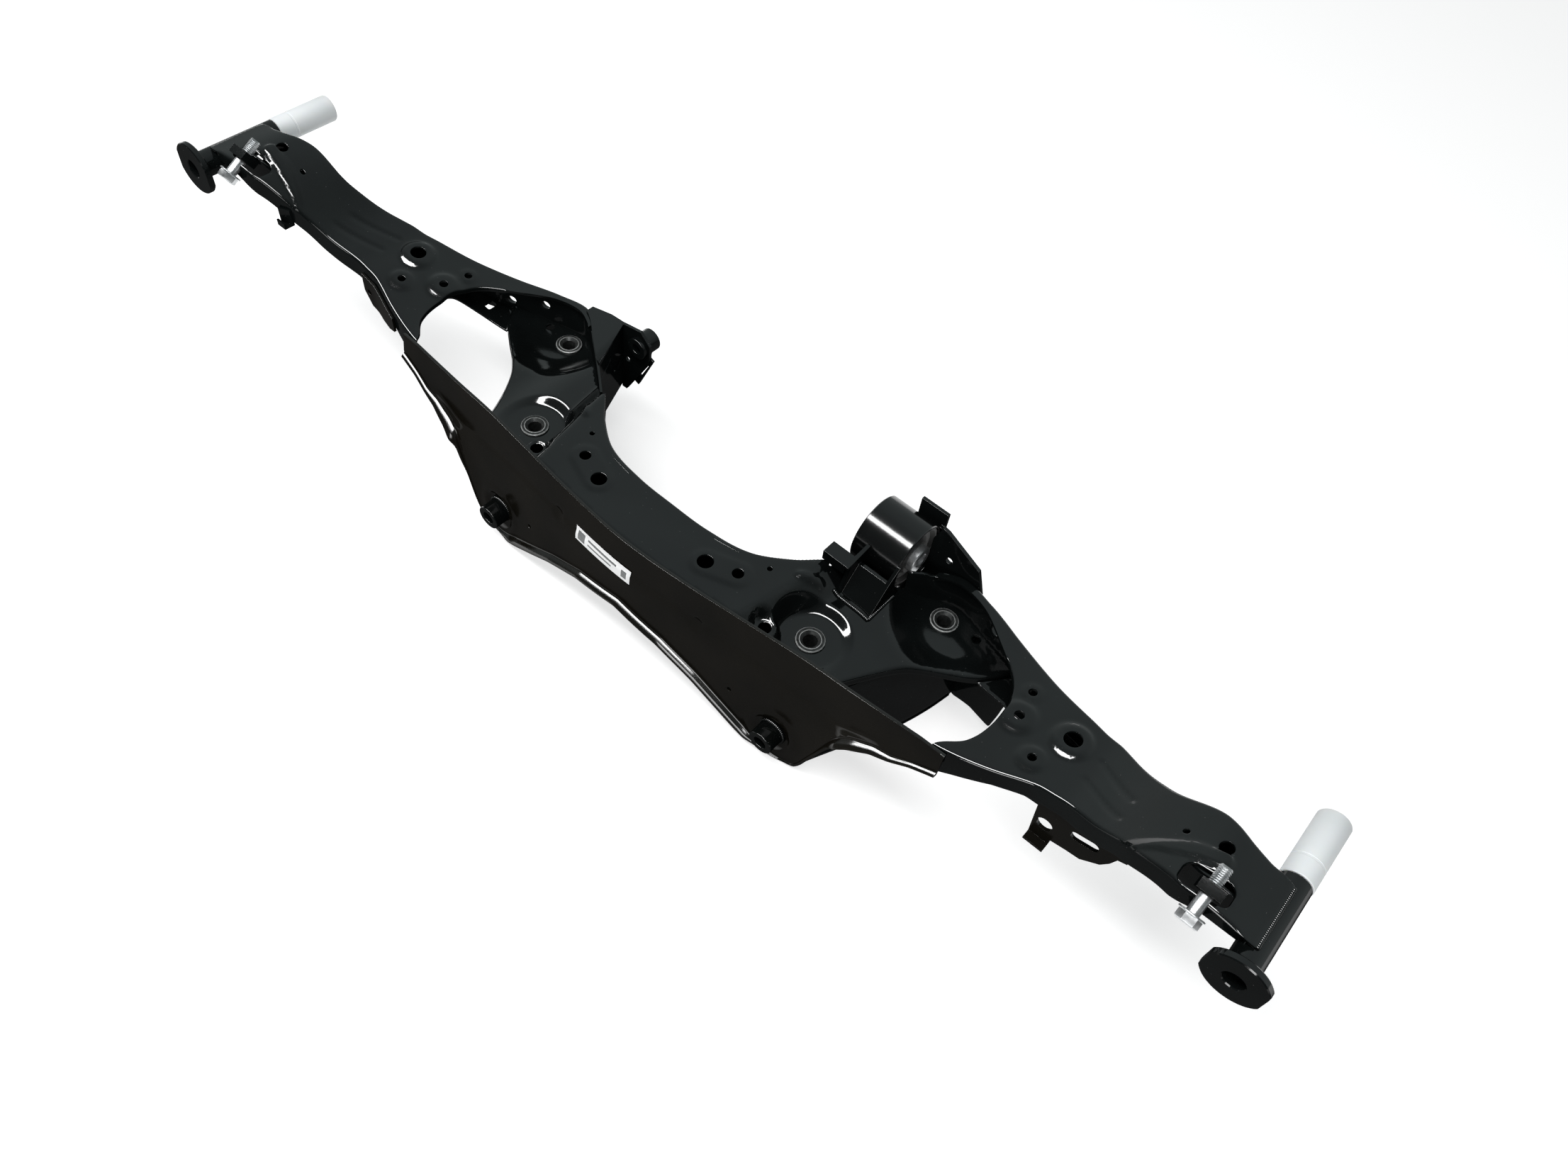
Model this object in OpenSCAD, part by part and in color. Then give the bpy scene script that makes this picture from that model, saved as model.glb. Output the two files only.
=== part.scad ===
// Pressed-steel suspension subframe: two arms with body-mount tubes, a deep centre box, a front web and rear mounts.
// X runs across the car, Z is up off the centre plate, and the front web faces -Y.
// The origin lies midway between the two body-mount bores, on the front faces of their flanges.

/* [Body mounts] */
// Distance between the two body-mount bores
mount_span = 1100; // [1040:1:1200]
// Bore of each body-mount tube
mount_bore = 16; // [12:0.5:18]
// Outside diameter of each body-mount tube
tube_od = 24; // [22:0.5:30]
// Length of each body-mount tube with its flange
tube_len = 88; // [80:1:100]
// Diameter of the round flange at the tube's front end
flange_d = 48; // [40:1:56]
// Width of the flange between its two flat sides
flange_w = 43; // [36:1:48]
// Thickness of the flange
flange_t = 6; // [4:0.5:10]
// Length of the white sleeve behind the tube's shoulder
sleeve_len = 61; // [40:1:80]
// Wall of the white sleeve
sleeve_wall = 2; // [1:0.1:3]
// Wall of the tube's thinner neck inside the sleeve
neck_wall = 2.3; // [1.5:0.1:3]

/* [Pressings] */
// Thickness of the arm and pan pressings
sheet_t = 2.5; // [1.5:0.1:3]
// Thickness of the front web
web_t = 3; // [2:0.1:4]
// Gap left between welded sheets
weld_gap = 0.3; // [0.1:0.1:0.5]
// Height of the end pads above the bores
pad_z = 20; // [16:1:26]
// Height of the arm at the foot of its step, below the bores
arm_z = -47.5; // [-56:0.5:-40]
// Height of the centre plate
plate_z = -63; // [-68:0.5:-58]
// Height of the pan around the front collars
pan_z = -90; // [-96:0.5:-86]
// Height of the pan around the rear collars
pan_rear_z = -101; // [-106:0.5:-98]
// Height of the front web's top edge
web_top_z = -62; // [-65:0.5:-58]
// Height of the lowest edge under the centre box
base_z = -206; // [-215:1:-202]
// Depth of the front lip along the arms
lip_depth = 19; // [14:0.5:24]
// Forward reach of the lip under the front web
web_lip = 4.5; // [3:0.5:7]

/* [Holes in the pressings] */
// Diameter of the swaged hole in each arm
arm_hole_d = 15.5; // [10:0.5:20]
// Diameter of the hole in each end pad
pad_hole_d = 11; // [6:0.5:14]
// Diameter of the small arm holes
small_hole_d = 8; // [4:0.5:10]
// Diameter of the large plate holes
plate_large_d = 15; // [10:0.5:18]
// Diameter of the middle plate holes
plate_mid_d = 11; // [7:0.5:13]
// Diameter of the small plate holes
plate_small_d = 5.5; // [3:0.5:7]
// Diameter of the hole beside each front collar
pan_hole_d = 12; // [8:0.5:13]
// Diameter of the holes in the rear panel
panel_hole_d = 10; // [6:0.5:12]
// Length of the window in each end pad
window_l = 37; // [30:1:40]
// Width of the window in each end pad
window_w = 20; // [16:1:22]

/* [Collars and bosses] */
// Bore of the crush collars
collar_bore = 12.5; // [10:0.5:14]
// Outside diameter of the crush collars
collar_od = 25; // [20:0.5:28]
// Height of a collar above the pan
collar_rise = 2; // [1:0.5:4]
// Distance of the front collars from the middle
collar_front_x = 164; // [160:1:170]
// Place of the front collars from front to rear
collar_front_y = 59; // [56:1:64]
// Distance of the rear collars from the middle
collar_rear_x = 229; // [224:1:234]
// Place of the rear collars from front to rear
collar_rear_y = 161; // [157:1:163]
// Distance of the front bosses from the middle
boss_x = 171; // [164:1:176]
// Height of the front bosses
boss_z = -176; // [-180:1:-172]
// Outside diameter of the front bosses
boss_od = 24; // [20:0.5:28]
// Bore of the front bosses
boss_bore = 12.5; // [10:0.5:14]
// Length of the front bosses
boss_len = 46; // [40:1:55]

/* [Clamp bolts] */
// Thread diameter of the clamp bolts
bolt_d = 10; // [8:0.5:12]
// Length of a bolt under its head
bolt_len = 37; // [30:1:45]
// Width of the hexagon head across its flats
bolt_af = 15; // [13:0.5:18]
// Tilt of the bolts above the level
bolt_tilt = 30; // [20:1:35]

/* [Rear mounts] */
// Outside diameter of the mount bush
bush_od = 64; // [58:1:68]
// Length of the bush's outer sleeve
bush_len = 47; // [42:1:52]
// Wall of the bush's outer sleeve
bush_wall = 2.5; // [1.5:0.1:4]
// Outside diameter of the bush's inner sleeve
bush_core_od = 26; // [20:1:32]
// Bore of the bush's inner sleeve
bush_bore = 12.5; // [10:0.5:14]
// How far the inner sleeve stands out at each end
bush_core_out = 4; // [2:0.5:8]
// Distance of the bush's middle from the middle plane
bush_x = 160.5; // [158:0.5:163]
// Place of the bush's axis from front to rear
bush_y = 170; // [168:0.5:172]
// Height of the bush's axis
bush_z = -63; // [-65:0.5:-61]
// Thickness of the mount brackets
bracket_t = 3.5; // [2.5:0.1:4.5]
// Outside diameter of the nut tube on the left bracket
nut_tube_od = 22; // [18:0.5:25]
// Bore of the nut tube
nut_tube_bore = 10.5; // [8:0.5:14]
// Length of the nut tube
nut_tube_len = 22; // [16:1:26]

/* [Label] */
// Length of the label
label_l = 68; // [50:1:80]
// Height of the label
label_h = 15; // [10:1:18]

/* [Hidden] */
$fn = 64;
black = "#232628";
black_brown = "#2a2923";
zinc = "#d9dadb";
white = "#f2f3f3";
rubber = "#3b3c3c";
far = 400;
half_span = mount_span / 2;
tube_r = tube_od / 2;
arm_end = half_span - tube_r - weld_gap;
skin_end = half_span - 2;

// Smooth curve through hand-chosen points, flat at its first point
function seg(p, x, i = 0) = (i >= len(p) - 2 || x < p[i + 1][0]) ? i : seg(p, x, i + 1);
function slope(p, i) = i == 0 ? 0
    : let (b = min(i + 1, len(p) - 1)) (p[b][1] - p[i - 1][1]) / (p[b][0] - p[i - 1][0]);
function hermite(t, a, b, ma, mb) =
    (2 * t ^ 3 - 3 * t ^ 2 + 1) * a + (t ^ 3 - 2 * t ^ 2 + t) * ma
    + (3 * t ^ 2 - 2 * t ^ 3) * b + (t ^ 3 - t ^ 2) * mb;
function curve(p, sx) =
    let (x = abs(sx), i = seg(p, x), w = p[i + 1][0] - p[i][0])
    hermite((x - p[i][0]) / w, p[i][1], p[i + 1][1], slope(p, i) * w, slope(p, i + 1) * w);
// Straight lines through the points, for edges with corners
function ramp(p, x) = lookup(abs(x), p);
// Length of wall seen across a line that runs at a slant
function slant(p, x) = let (d = (curve(p, x + 1) - curve(p, x - 1)) / 2) sqrt(1 + d * d);
function steps(a, b, n) = [for (i = [0:n]) a + (b - a) * i / n];
// Smooth path through points in the plane
function path(p, n) = [for (i = [0:len(p) - 2]) each [for (j = [0:n - 1])
    let (a = p[i], b = p[i + 1], ma = (b - p[max(i - 1, 0)]) / 2,
         mb = (p[min(i + 2, len(p) - 1)] - a) / 2) hermite(j / n, a, b, ma, mb)], p[len(p) - 1]];

// Rear outline in plan: hollow behind the plate, out to the brackets, then along the arm to its tube
rear_line = [[0, 67], [40, 68], [80, 75.5], [110, 95], [132, 117], [185, 159], [222, 184], [258, 179], [296, 166],
    [345, 147], [393, 133], [half_span - 140, 128], [half_span - 105, 106], [half_span - 88, 97],
    [half_span - 60, 92.5], [half_span - 35, 82], [skin_end, 76]];
// Front outline of the arms in plan
front_line = [[290, 37.3], [316, 40.5], [345, 47.5], [376, 57], [392, 58.5], [half_span - 145, 58],
    [half_span - 125, 51.5], [half_span - 105, 44], [half_span - 90, 36], [half_span - 70, 28],
    [half_span - 53, 21.5], [half_span - 30, 20], [skin_end, 21]];
// Front wall of the lower arm, set back from the lip
lower_front = [[318, 56], [345, 62.5], [380, 65], [half_span - 92, 65], [half_span - 78, 62], [half_span - 63, 48],
    [half_span - 50, 41.5], [half_span - 20, 40], [skin_end, 42]];
// Front face of the web in plan, at its top edge
web_line = [[0, 8], [60, 11.5], [140, 20.5], [185, 25.5], [230, 28.5], [290, 33.5], [312, 35.5]];
// Height of the arm's top skin, from the centre plate out over the step to the tube
step_h = pad_z - arm_z;
skin_line = [[0, plate_z], [200, plate_z - 2], [290, plate_z - 2.5], [334, plate_z + 2.5], [377, arm_z - 5.5],
    [half_span - 145, arm_z], [half_span - 115, arm_z + 0.24 * step_h], [half_span - 95, arm_z + 0.54 * step_h],
    [half_span - 74, arm_z + 0.8 * step_h], [half_span - 50, pad_z - 1.5], [half_span - 35, pad_z],
    [skin_end, tube_r + weld_gap + sheet_t]];
// Depth of the front lip, of the rear wall and of the lower arm's floor, below the top skin
lip_line = [[290, lip_depth + 20], [321, lip_depth + 8], [350, lip_depth], [half_span - 60, lip_depth],
    [half_span - 38, lip_depth - 7], [half_span, lip_depth - 12]];
rear_wall = [[200, 42], [300, 46], [371, 52], [half_span - 120, 48], [half_span - 50, 32], [half_span, 28]];
lower_depth = [[280, 39], [318, 38], [356, 39], [375, 38], [half_span - 120, 42], [half_span - 70, 37],
    [half_span, 30]];
// Height of the pan: level plate, step down, then falling gently outwards
pan_line = [[0, plate_z], [94, plate_z], [128, pan_z + 1.5], [collar_front_x, pan_z], [collar_rear_x, pan_rear_z],
    [310, pan_rear_z - 5]];
// Lower edge of the web and of the rear panel
web_low = [[0, base_z + 65], [50, base_z + 56], [90, base_z + 40], [122, base_z + 24], [145, base_z + 12],
    [165, base_z + 4], [185, base_z], [197, base_z + 3], [203, base_z + 13], [209, base_z + 30], [215, -160],
    [224, -134], [230, -122], [242, -114], [260, -106], [276, -104], [292, -96], [312, -88.5]];
floor_line = [[0, base_z + 65], [50, base_z + 56], [90, base_z + 40], [122, base_z + 24], [145, base_z + 12],
    [165, base_z + 4], [185, base_z], [270, base_z]];
panel_low = [[0, base_z + 65], [60, base_z + 54], [110, base_z + 28], [150, base_z + 10], [185, base_z],
    [258, base_z], [278, base_z + 11], [300, base_z + 17], [304, base_z + 19], [308, -137], [318, -134]];
// The web leans forward below its crease
crease_line = [[0, -96], [120, -102], [190, -110], [230, -112], [242, -104], [260, -97], [292, -88], [312, -81]];
crease_fwd = 2.5;
lean_line = [[0, 6], [83, 9], [124, 12], [171, 14], [200, 14], [230, 12], [276, 5.2], [292, 3.8], [312, 2.5]];
web_lip_line = [[0, web_lip], [150, web_lip], [190, 1], [224, 1], [231, 8.5], [260, 4.3], [276, 2.2], [292, 1],
    [312, 1]];
web_half = [0, 20, 40, 60, 80, 100, 120, 140, 155, 170, 185, 192, 197, 203, 209, 215, 220, 224, 228, 231, 236, 242,
    250, 260, 268, 276, 284, 292, 302, 312];
// Edge of each opening: along the arm, and along the pan with its side wall below
arm_edge = path([[206, 167], [228, 176], [256, 170.5], [284, 152.5], [309.5, 131.5], [320.5, 110], [322, 82],
    [316, 60], [303, 46.5], [298, 38]], 6);
strip_x = arm_edge[0][0];
pan_edge = path([[204, 31], [209, 49], [228, 84], [246, 104], [284, 132], [303, 157]], 4);
wall_edge = path([[204, 31], [209, 49], [223, 84], [234, 106], [249, 136], [257, 171]], 4);
floor_edge = path([[199, 17.5], [213, 50], [231, 88], [242, 116], [250, 145], [255, 172]], 4);
plate_end = 132;
panel_end = 318;
pan_end = 302;
rear_holes = [[271, -83], [306, -91]];
lap = sheet_t + weld_gap;
collar_front = [collar_front_x, collar_front_y];
collar_rear = [collar_rear_x, collar_rear_y];

module on_side(s) {
    if (s > 0) children();
    else mirror([1, 0, 0]) children();
}

// A wall that follows a plan line from x0 to x1, between two offsets from the line
module band(p, x0, x1, n, a, b) {
    xs = steps(x0, x1, n);
    translate([0, 0, -far]) linear_extrude(2 * far) polygon(concat(
        [for (x = xs) [x, curve(p, x) + a * slant(p, x)]],
        [for (i = [n:-1:0]) [xs[i], curve(p, xs[i]) + b * slant(p, xs[i])]]));
}

// A plan outline as a tall prism
module prism(points) translate([0, 0, -far]) linear_extrude(2 * far) polygon(points);

// A side outline, given as X and Z, as a prism along Y
module side_prism(points, y0 = -far, y1 = far)
    translate([0, y1, 0]) rotate([90, 0, 0]) linear_extrude(y1 - y0) polygon(points);

// A sheet that follows a height line, with its thickness measured square to the slope
module sheet(p, x0, x1, n, t, rise = 0) {
    xs = steps(x0, x1, n);
    side_prism(concat([for (x = xs) [x, curve(p, x) + rise]],
        [for (i = [n:-1:0]) [xs[i], curve(p, xs[i]) + rise - t * slant(p, xs[i])]]));
}

// Everything between the skin, lowered by drop, and a depth line below it
module under_skin(depth, x0, x1, n, drop = 0) {
    xs = steps(x0, x1, n);
    side_prism(concat([for (x = xs) [x, curve(skin_line, x) - drop]],
        [for (i = [n:-1:0]) [xs[i], curve(skin_line, xs[i]) - ramp(depth, xs[i])]]));
}

// A rectangle with round corners
module round_rect(l, w, r) {
    for (s = [-1, 1], u = [-1, 1]) translate([s * (l / 2 - r), u * (w / 2 - r)]) circle(r);
    square([l - 2 * r, w], center = true);
    square([l, w - 2 * r], center = true);
}

module drill(p, d) translate([p[0], p[1], -far]) cylinder(d = d, h = 2 * far);

module along_y(x, y, z, d, h) translate([x, y, z]) rotate([-90, 0, 0]) cylinder(d = d, h = h);

module along_x(x, y, z, d, h) translate([x, y, z]) rotate([0, 90, 0]) cylinder(d = d, h = h);

// The clamp bolt's own frame: +Z runs up the bolt, zero lies under the head
bolt_x = half_span - 43;
bolt_seat = [bolt_x, 14, 12.5];
module on_bolt() translate(bolt_seat) rotate([-90 + bolt_tilt, 0, 0]) children();

// Upper half of an arm: top skin with a front lip and a rear wall, pressed in one
module upper_arm() {
    front_x = arm_edge[len(arm_edge) - 1][0];
    difference() {
        union() {
            intersection() {
                prism(concat([for (x = steps(front_x, skin_end, 40)) [x, curve(front_line, x)]],
                    [for (x = steps(skin_end, strip_x, 48)) [x, curve(rear_line, x)]], arm_edge));
                sheet(skin_line, strip_x - 5, skin_end, 44, sheet_t);
            }
            intersection() {
                band(rear_line, strip_x, arm_end, 46, 0, -sheet_t);
                under_skin(rear_wall, strip_x, arm_end, 44);
            }
            intersection() {
                band(front_line, front_x, arm_end, 38, 0, sheet_t);
                under_skin(lip_line, front_x, arm_end, 38);
            }
        }
        drill([half_span - 48.5, 66], pad_hole_d);
        drill([half_span - 74, 66], small_hole_d - 3);
        drill([377, 108.5], arm_hole_d);
        drill([334, 102], small_hole_d + 1);
        drill([330, 128], small_hole_d);
        drill([362, 76], small_hole_d);
        translate([half_span - 46, 25 + window_w / 2, 0]) linear_extrude(far) round_rect(window_l, window_w, 7);
        on_bolt() cylinder(d = bolt_d + 1, h = bolt_len);
        for (h = rear_holes) along_y(h[0], 140, h[1], panel_hole_d + 2, far);
    }
}
module upper_arm_left() color(black) on_side(-1) upper_arm();
module upper_arm_right() color(black) on_side(1) upper_arm();

// Lower half of an arm: a channel that closes the arm from below, with a strip along its rear wall to the pan
module lower_arm() {
    x0 = 354;
    wall_x = panel_end + 3;
    n = 28;
    xs = steps(284, arm_end, 42);
    difference() {
        intersection() {
            side_prism(concat([for (x = xs) [x, curve(skin_line, x) - ramp(lower_depth, x) + sheet_t]],
                [for (i = [42:-1:0]) [xs[i], curve(skin_line, xs[i]) - ramp(lower_depth, xs[i])]]));
            prism(concat([[285.8, 132.2], [317, 127.5], [346, 122], [x0, 114]],
                [for (x = steps(x0, arm_end, n)) [x, curve(lower_front, x)]],
                [for (x = steps(arm_end, wall_x, 36)) [x, curve(rear_line, x) - lap * slant(rear_line, x)]],
                [for (x = steps(wall_x - 0.5, 305, 4)) [x, curve(rear_line, x) - 2 * lap * slant(rear_line, x)]]));
        }
        translate([320, 142, -far]) linear_extrude(2 * far) round_rect(8, 11, 2);
    }
    intersection() {
        band(lower_front, x0, arm_end, n, 0, sheet_t);
        under_skin(lower_depth, x0, arm_end, n, lap * 1.4);
    }
    intersection() {
        band(rear_line, wall_x, arm_end, 36, -lap, -lap - sheet_t);
        under_skin(lower_depth, wall_x, arm_end, 36, lap * 5);
    }
}
module lower_arm_left() color(black) on_side(-1) lower_arm();
module lower_arm_right() color(black) on_side(1) lower_arm();

// Section of the web at x: down the back face, round the lip, and up the front
function web_foot(x) = curve(web_line, x) - ramp(lean_line, x);
function web_top(x) = web_top_z - max(abs(x) - 290, 0) * 0.1;
function web_section(x) =
    let (y = curve(web_line, x), f = web_foot(x), low = ramp(web_low, x), c = ramp(crease_line, x),
         l = ramp(web_lip_line, x))
    [[x, y + web_t, web_top(x)], [x, y - crease_fwd + web_t, c], [x, f + web_t, low], [x, f - l, low],
     [x, f - l, low + web_t], [x, f, low + web_t], [x, y - crease_fwd, c], [x, y, web_top(x)]];

// Solid through a row of sections that all have the same number of points
module loft(sections) {
    m = len(sections[0]);
    n = len(sections) - 1;
    polyhedron([for (s = sections) each s], concat(
        [[for (j = [m - 1:-1:0]) j]], [[for (j = [0:m - 1]) n * m + j]],
        [for (i = [0:n - 1], j = [0:m - 1]) [i * m + j, i * m + (j + 1) % m, (i + 1) * m + j]],
        [for (i = [0:n - 1], j = [0:m - 1]) [i * m + (j + 1) % m, (i + 1) * m + (j + 1) % m, (i + 1) * m + j]]));
}

// Deep front web with a forward lip along its lower edge
module front_web() color(black_brown) difference() {
    web_x = concat([for (i = [len(web_half) - 1:-1:1]) -web_half[i]], web_half);
    loft([for (x = web_x) web_section(x)]);
    for (s = [-1, 1]) {
        along_y(s * boss_x, -far, boss_z, boss_od + 2 * weld_gap, 2 * far);
        along_y(s * 124, -far, -156, 5, 2 * far);
    }
}

// Pressed centre pan: the holed plate in the middle, the low fields with the collars on each side
module centre_pan() color(black) difference() {
    union() {
        intersection() {
            prism(concat(
                [for (x = steps(-pan_edge[0][0], pan_edge[0][0], 40)) [x, curve(web_line, x) + web_t + weld_gap]],
                pan_edge,
                [for (x = steps(pan_end, plate_end + 2, 24))
                    [x, curve(rear_line, x) - 2 * lap * slant(rear_line, x)]],
                [for (x = steps(plate_end, -plate_end, 48)) [x, curve(rear_line, x)]],
                [for (x = steps(plate_end + 2, pan_end, 24))
                    [-x, curve(rear_line, x) - 2 * lap * slant(rear_line, x)]],
                [for (i = [len(pan_edge) - 1:-1:0]) [-pan_edge[i][0], pan_edge[i][1]]]));
            sheet(pan_line, -310, 310, 124, sheet_t);
        }
        intersection() {
            band(rear_line, -plate_end, plate_end, 48, 0, -sheet_t);
            sheet(pan_line, -plate_end, plate_end, 60, 15);
        }
    }
    for (s = [-1, 1]) {
        for (c = [collar_front, collar_rear]) drill([s * c[0], c[1]], collar_od + 2 * weld_gap);
        drill([s * 62, 41], plate_large_d);
        drill([s * 89, 51], plate_mid_d);
        drill([s * 104, 73.5], plate_small_d);
        drill([s * 130, 40], pan_hole_d);
        drill([s * 260, 165.5], small_hole_d + 1);
    }
    translate([cheek_x1 - bracket_t - 1, bush_y - 30, -far]) cube([bracket_t + 2, far, 2 * far]);
}

// Rear panel of the centre box, along the whole hollow from arm to arm
notch_x0 = bush_x - 13;
notch_x1 = bush_x + bush_len / 2 + 4.5;
module rear_panel() color(black) difference() {
    edge = plate_end + 2.5;
    half = concat(
        [for (x = steps(0, edge, 22)) [x, curve(pan_line, x) - lap * slant(pan_line, x)]],
        [[edge, plate_z - lap], [strip_x - 6, plate_z - lap]],
        [for (x = steps(strip_x - 6, panel_end, 16)) [x, curve(skin_line, x) - lap - weld_gap]]);
    intersection() {
        band(rear_line, -panel_end, panel_end, 130, -lap, -lap - sheet_t);
        side_prism(concat([for (i = [len(half) - 1:-1:1]) [-half[i][0], half[i][1]]], half,
            [for (x = steps(panel_end, -panel_end, 122)) [x, ramp(panel_low, x)]]));
    }
    along_x(notch_x0, bush_y, bush_z, bush_od + 2 * weld_gap, notch_x1 - notch_x0);
    translate([notch_x0, 0, bush_z - 42]) cube([notch_x1 - notch_x0, far, far]);
    for (s = [-1, 1], h = rear_holes) along_y(s * h[0], 0, h[1], panel_hole_d, far);
}

// Floor of the centre box, arched up between the front bosses
module floor_pan() color(black) difference() {
    floor_sheet();
    for (s = [-1, 1], c = [collar_front, collar_rear]) drill([s * c[0], c[1]], collar_bore + 1);
}
module floor_sheet() intersection() {
    prism(concat(
        [for (x = steps(-floor_edge[0][0], floor_edge[0][0], 40)) [x, web_foot(x) + web_t + 3 * weld_gap]],
        floor_edge,
        [for (x = steps(254, -254, 100)) [x, curve(rear_line, x) - 2 * lap * slant(rear_line, x)]],
        [for (i = [len(floor_edge) - 1:-1:0]) [-floor_edge[i][0], floor_edge[i][1]]]));
    side_prism(concat([for (x = steps(-262, 262, 104)) [x, ramp(floor_line, x) + weld_gap + sheet_t]],
        [for (x = steps(262, -262, 104)) [x, ramp(floor_line, x) + weld_gap]]));
}

// End wall of the centre box, from under the pan down to the floor
module side_wall() loft([for (i = [0:len(wall_edge) - 1])
    let (a = wall_edge[i], b = floor_edge[i], ta = curve(pan_line, a[0]) - 2 * lap, tb = base_z + lap + weld_gap)
    [[a[0], a[1], ta], [a[0] - sheet_t, a[1], ta], [b[0] - sheet_t, b[1], tb], [b[0], b[1], tb]]]);
module side_wall_left() color(black) on_side(-1) side_wall();
module side_wall_right() color(black) on_side(1) side_wall();

// Body-mount tube, its flange, and the white sleeve over its thinner neck
neck_od = mount_bore + 2 * neck_wall;
module end_tube() difference() {
    union() {
        along_y(half_span, flange_t, 0, tube_od, tube_len - flange_t);
        along_y(half_span, flange_t, 0, neck_od, tube_len - flange_t + sleeve_len - 2);
    }
    along_y(half_span, 0, 0, mount_bore, far);
}
module end_flange() difference() {
    intersection() {
        along_y(half_span, 0, 0, flange_d, flange_t);
        translate([half_span - flange_w / 2, -1, -far]) cube([flange_w, flange_t + 2, 2 * far]);
    }
    along_y(half_span, -1, 0, mount_bore, flange_t + 2);
}
module sleeve() difference() {
    along_y(half_span, tube_len + weld_gap, 0, neck_od + 2 * (weld_gap + sleeve_wall), sleeve_len);
    along_y(half_span, 0, 0, neck_od + 2 * weld_gap, far);
}
module end_tube_left() color(black) on_side(-1) end_tube();
module end_tube_right() color(black) on_side(1) end_tube();
module end_flange_left() color(black) on_side(-1) end_flange();
module end_flange_right() color(black) on_side(1) end_flange();
module sleeve_left() color(white) on_side(-1) sleeve();
module sleeve_right() color(white) on_side(1) sleeve();

// Zinc bolt with a flanged hexagon head below the lip, and its nut behind the lip
head_h = 6.5;
nut_at = 15;
nut_h = 8;
module clamp_bolt() on_bolt() {
    cylinder(d = bolt_d, h = bolt_len);
    translate([0, 0, -1.8]) cylinder(d = bolt_af + 5, h = 1.8);
    translate([0, 0, -1.8 - head_h]) cylinder(d = bolt_af / cos(30), h = head_h, $fn = 6);
}
module weld_nut() on_bolt() translate([0, 0, nut_at]) difference() {
    translate([-bolt_d * 0.9, -bolt_d * 0.9, 0]) cube([bolt_d * 1.8, bolt_d * 1.8, nut_h]);
    translate([0, 0, -1]) cylinder(d = bolt_d + 0.1, h = nut_h + 2);
}
module clamp_bolt_left() color(zinc) on_side(-1) clamp_bolt();
module clamp_bolt_right() color(zinc) on_side(1) clamp_bolt();
module weld_nut_left() color(black) on_side(-1) weld_nut();
module weld_nut_right() color(black) on_side(1) weld_nut();

// Crush collar from the pan down to the floor
module collar(p) {
    low = max(ramp(floor_line, p[0] - collar_od / 2), ramp(floor_line, p[0])) + lap + 2 * weld_gap;
    translate([p[0], p[1], low]) difference() {
        cylinder(d = collar_od, h = curve(pan_line, p[0]) + collar_rise - low);
        translate([0, 0, -1]) cylinder(d = collar_bore, h = far);
    }
}
module collar_front_left() color(black) on_side(-1) collar(collar_front);
module collar_front_right() color(black) on_side(1) collar(collar_front);
module collar_rear_left() color(black) on_side(-1) collar(collar_rear);
module collar_rear_right() color(black) on_side(1) collar(collar_rear);

// Boss tube through the web, coped to clear the collar behind it
module boss() difference() {
    along_y(boss_x, -1, boss_z, boss_od, boss_len);
    along_y(boss_x, -2, boss_z, boss_bore, boss_len + 2);
    drill(collar_front, collar_od + 2 * weld_gap);
}
module boss_left() color(black) on_side(-1) boss();
module boss_right() color(black) on_side(1) boss();

// Rubber mount bush with its axis along X
module bush_ring(od, id, l) difference() {
    along_x(bush_x - l / 2, bush_y, bush_z, od, l);
    along_x(bush_x - l / 2 - 1, bush_y, bush_z, id, l + 2);
}
module bush_outer() color(black) bush_ring(bush_od, bush_od - 2 * bush_wall, bush_len);
module bush_rubber() color(rubber) bush_ring(bush_od - 2 * bush_wall, bush_core_od, bush_len - 4);
module bush_core() color(zinc) bush_ring(bush_core_od, bush_bore, bush_len + 2 * bush_core_out);

// Bracket that cradles the bush: a leaning front plate, two cheeks on a foot plate, and two folded tabs
cheek_x0 = bush_x - 10;
cheek_x1 = bush_x + bush_len / 2 + 2;
bush_r = bush_od / 2 + weld_gap;
module cheek(x, shoulder, drop, rear) {
    foot = curve(pan_line, x) + weld_gap + 1;
    translate([x, 0, 0]) rotate([90, 0, 90]) linear_extrude(bracket_t) polygon([
        [106, foot], shoulder, [bush_y - 30, bush_z + 15], [rear, bush_z + 15], [rear, bush_z - 12],
        [bush_y + 18, bush_z - 41], [drop, bush_z - 41], [drop, foot]]);
}
module bush_bracket() color(black) difference() {
    foot = curve(pan_line, cheek_x0) + weld_gap + 1;
    rear = bush_y + bush_r + bracket_t;
    union() {
        cheek(cheek_x0, [118, plate_z + 8 + bracket_t], bush_y - 41, bush_y + 25);
        cheek(cheek_x1 - bracket_t, [128, bush_z + 3], bush_y - 29, rear);
        translate([cheek_x0, bush_y - 29, bush_z - 41]) cube([cheek_x1 - cheek_x0, 47, bracket_t]);
        translate([cheek_x0, 0, 0]) rotate([90, 0, 90]) linear_extrude(cheek_x1 - cheek_x0) polygon([
            [106, foot], [106 + bracket_t, foot], [128 + bracket_t, bush_z + 3], [128, bush_z + 3]]);
        translate([cheek_x0 - 23, 112, plate_z + 8]) cube([23 + bracket_t, 14, bracket_t]);
        translate([cheek_x0 - 23, 112, plate_z + 1]) cube([23, bracket_t, 8]);
        translate([cheek_x1 - 28, rear - bracket_t, bush_z + 3]) cube([28, bracket_t, 26]);
    }
    along_x(0, bush_y, bush_z, 2 * bush_r, far);
}

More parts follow.
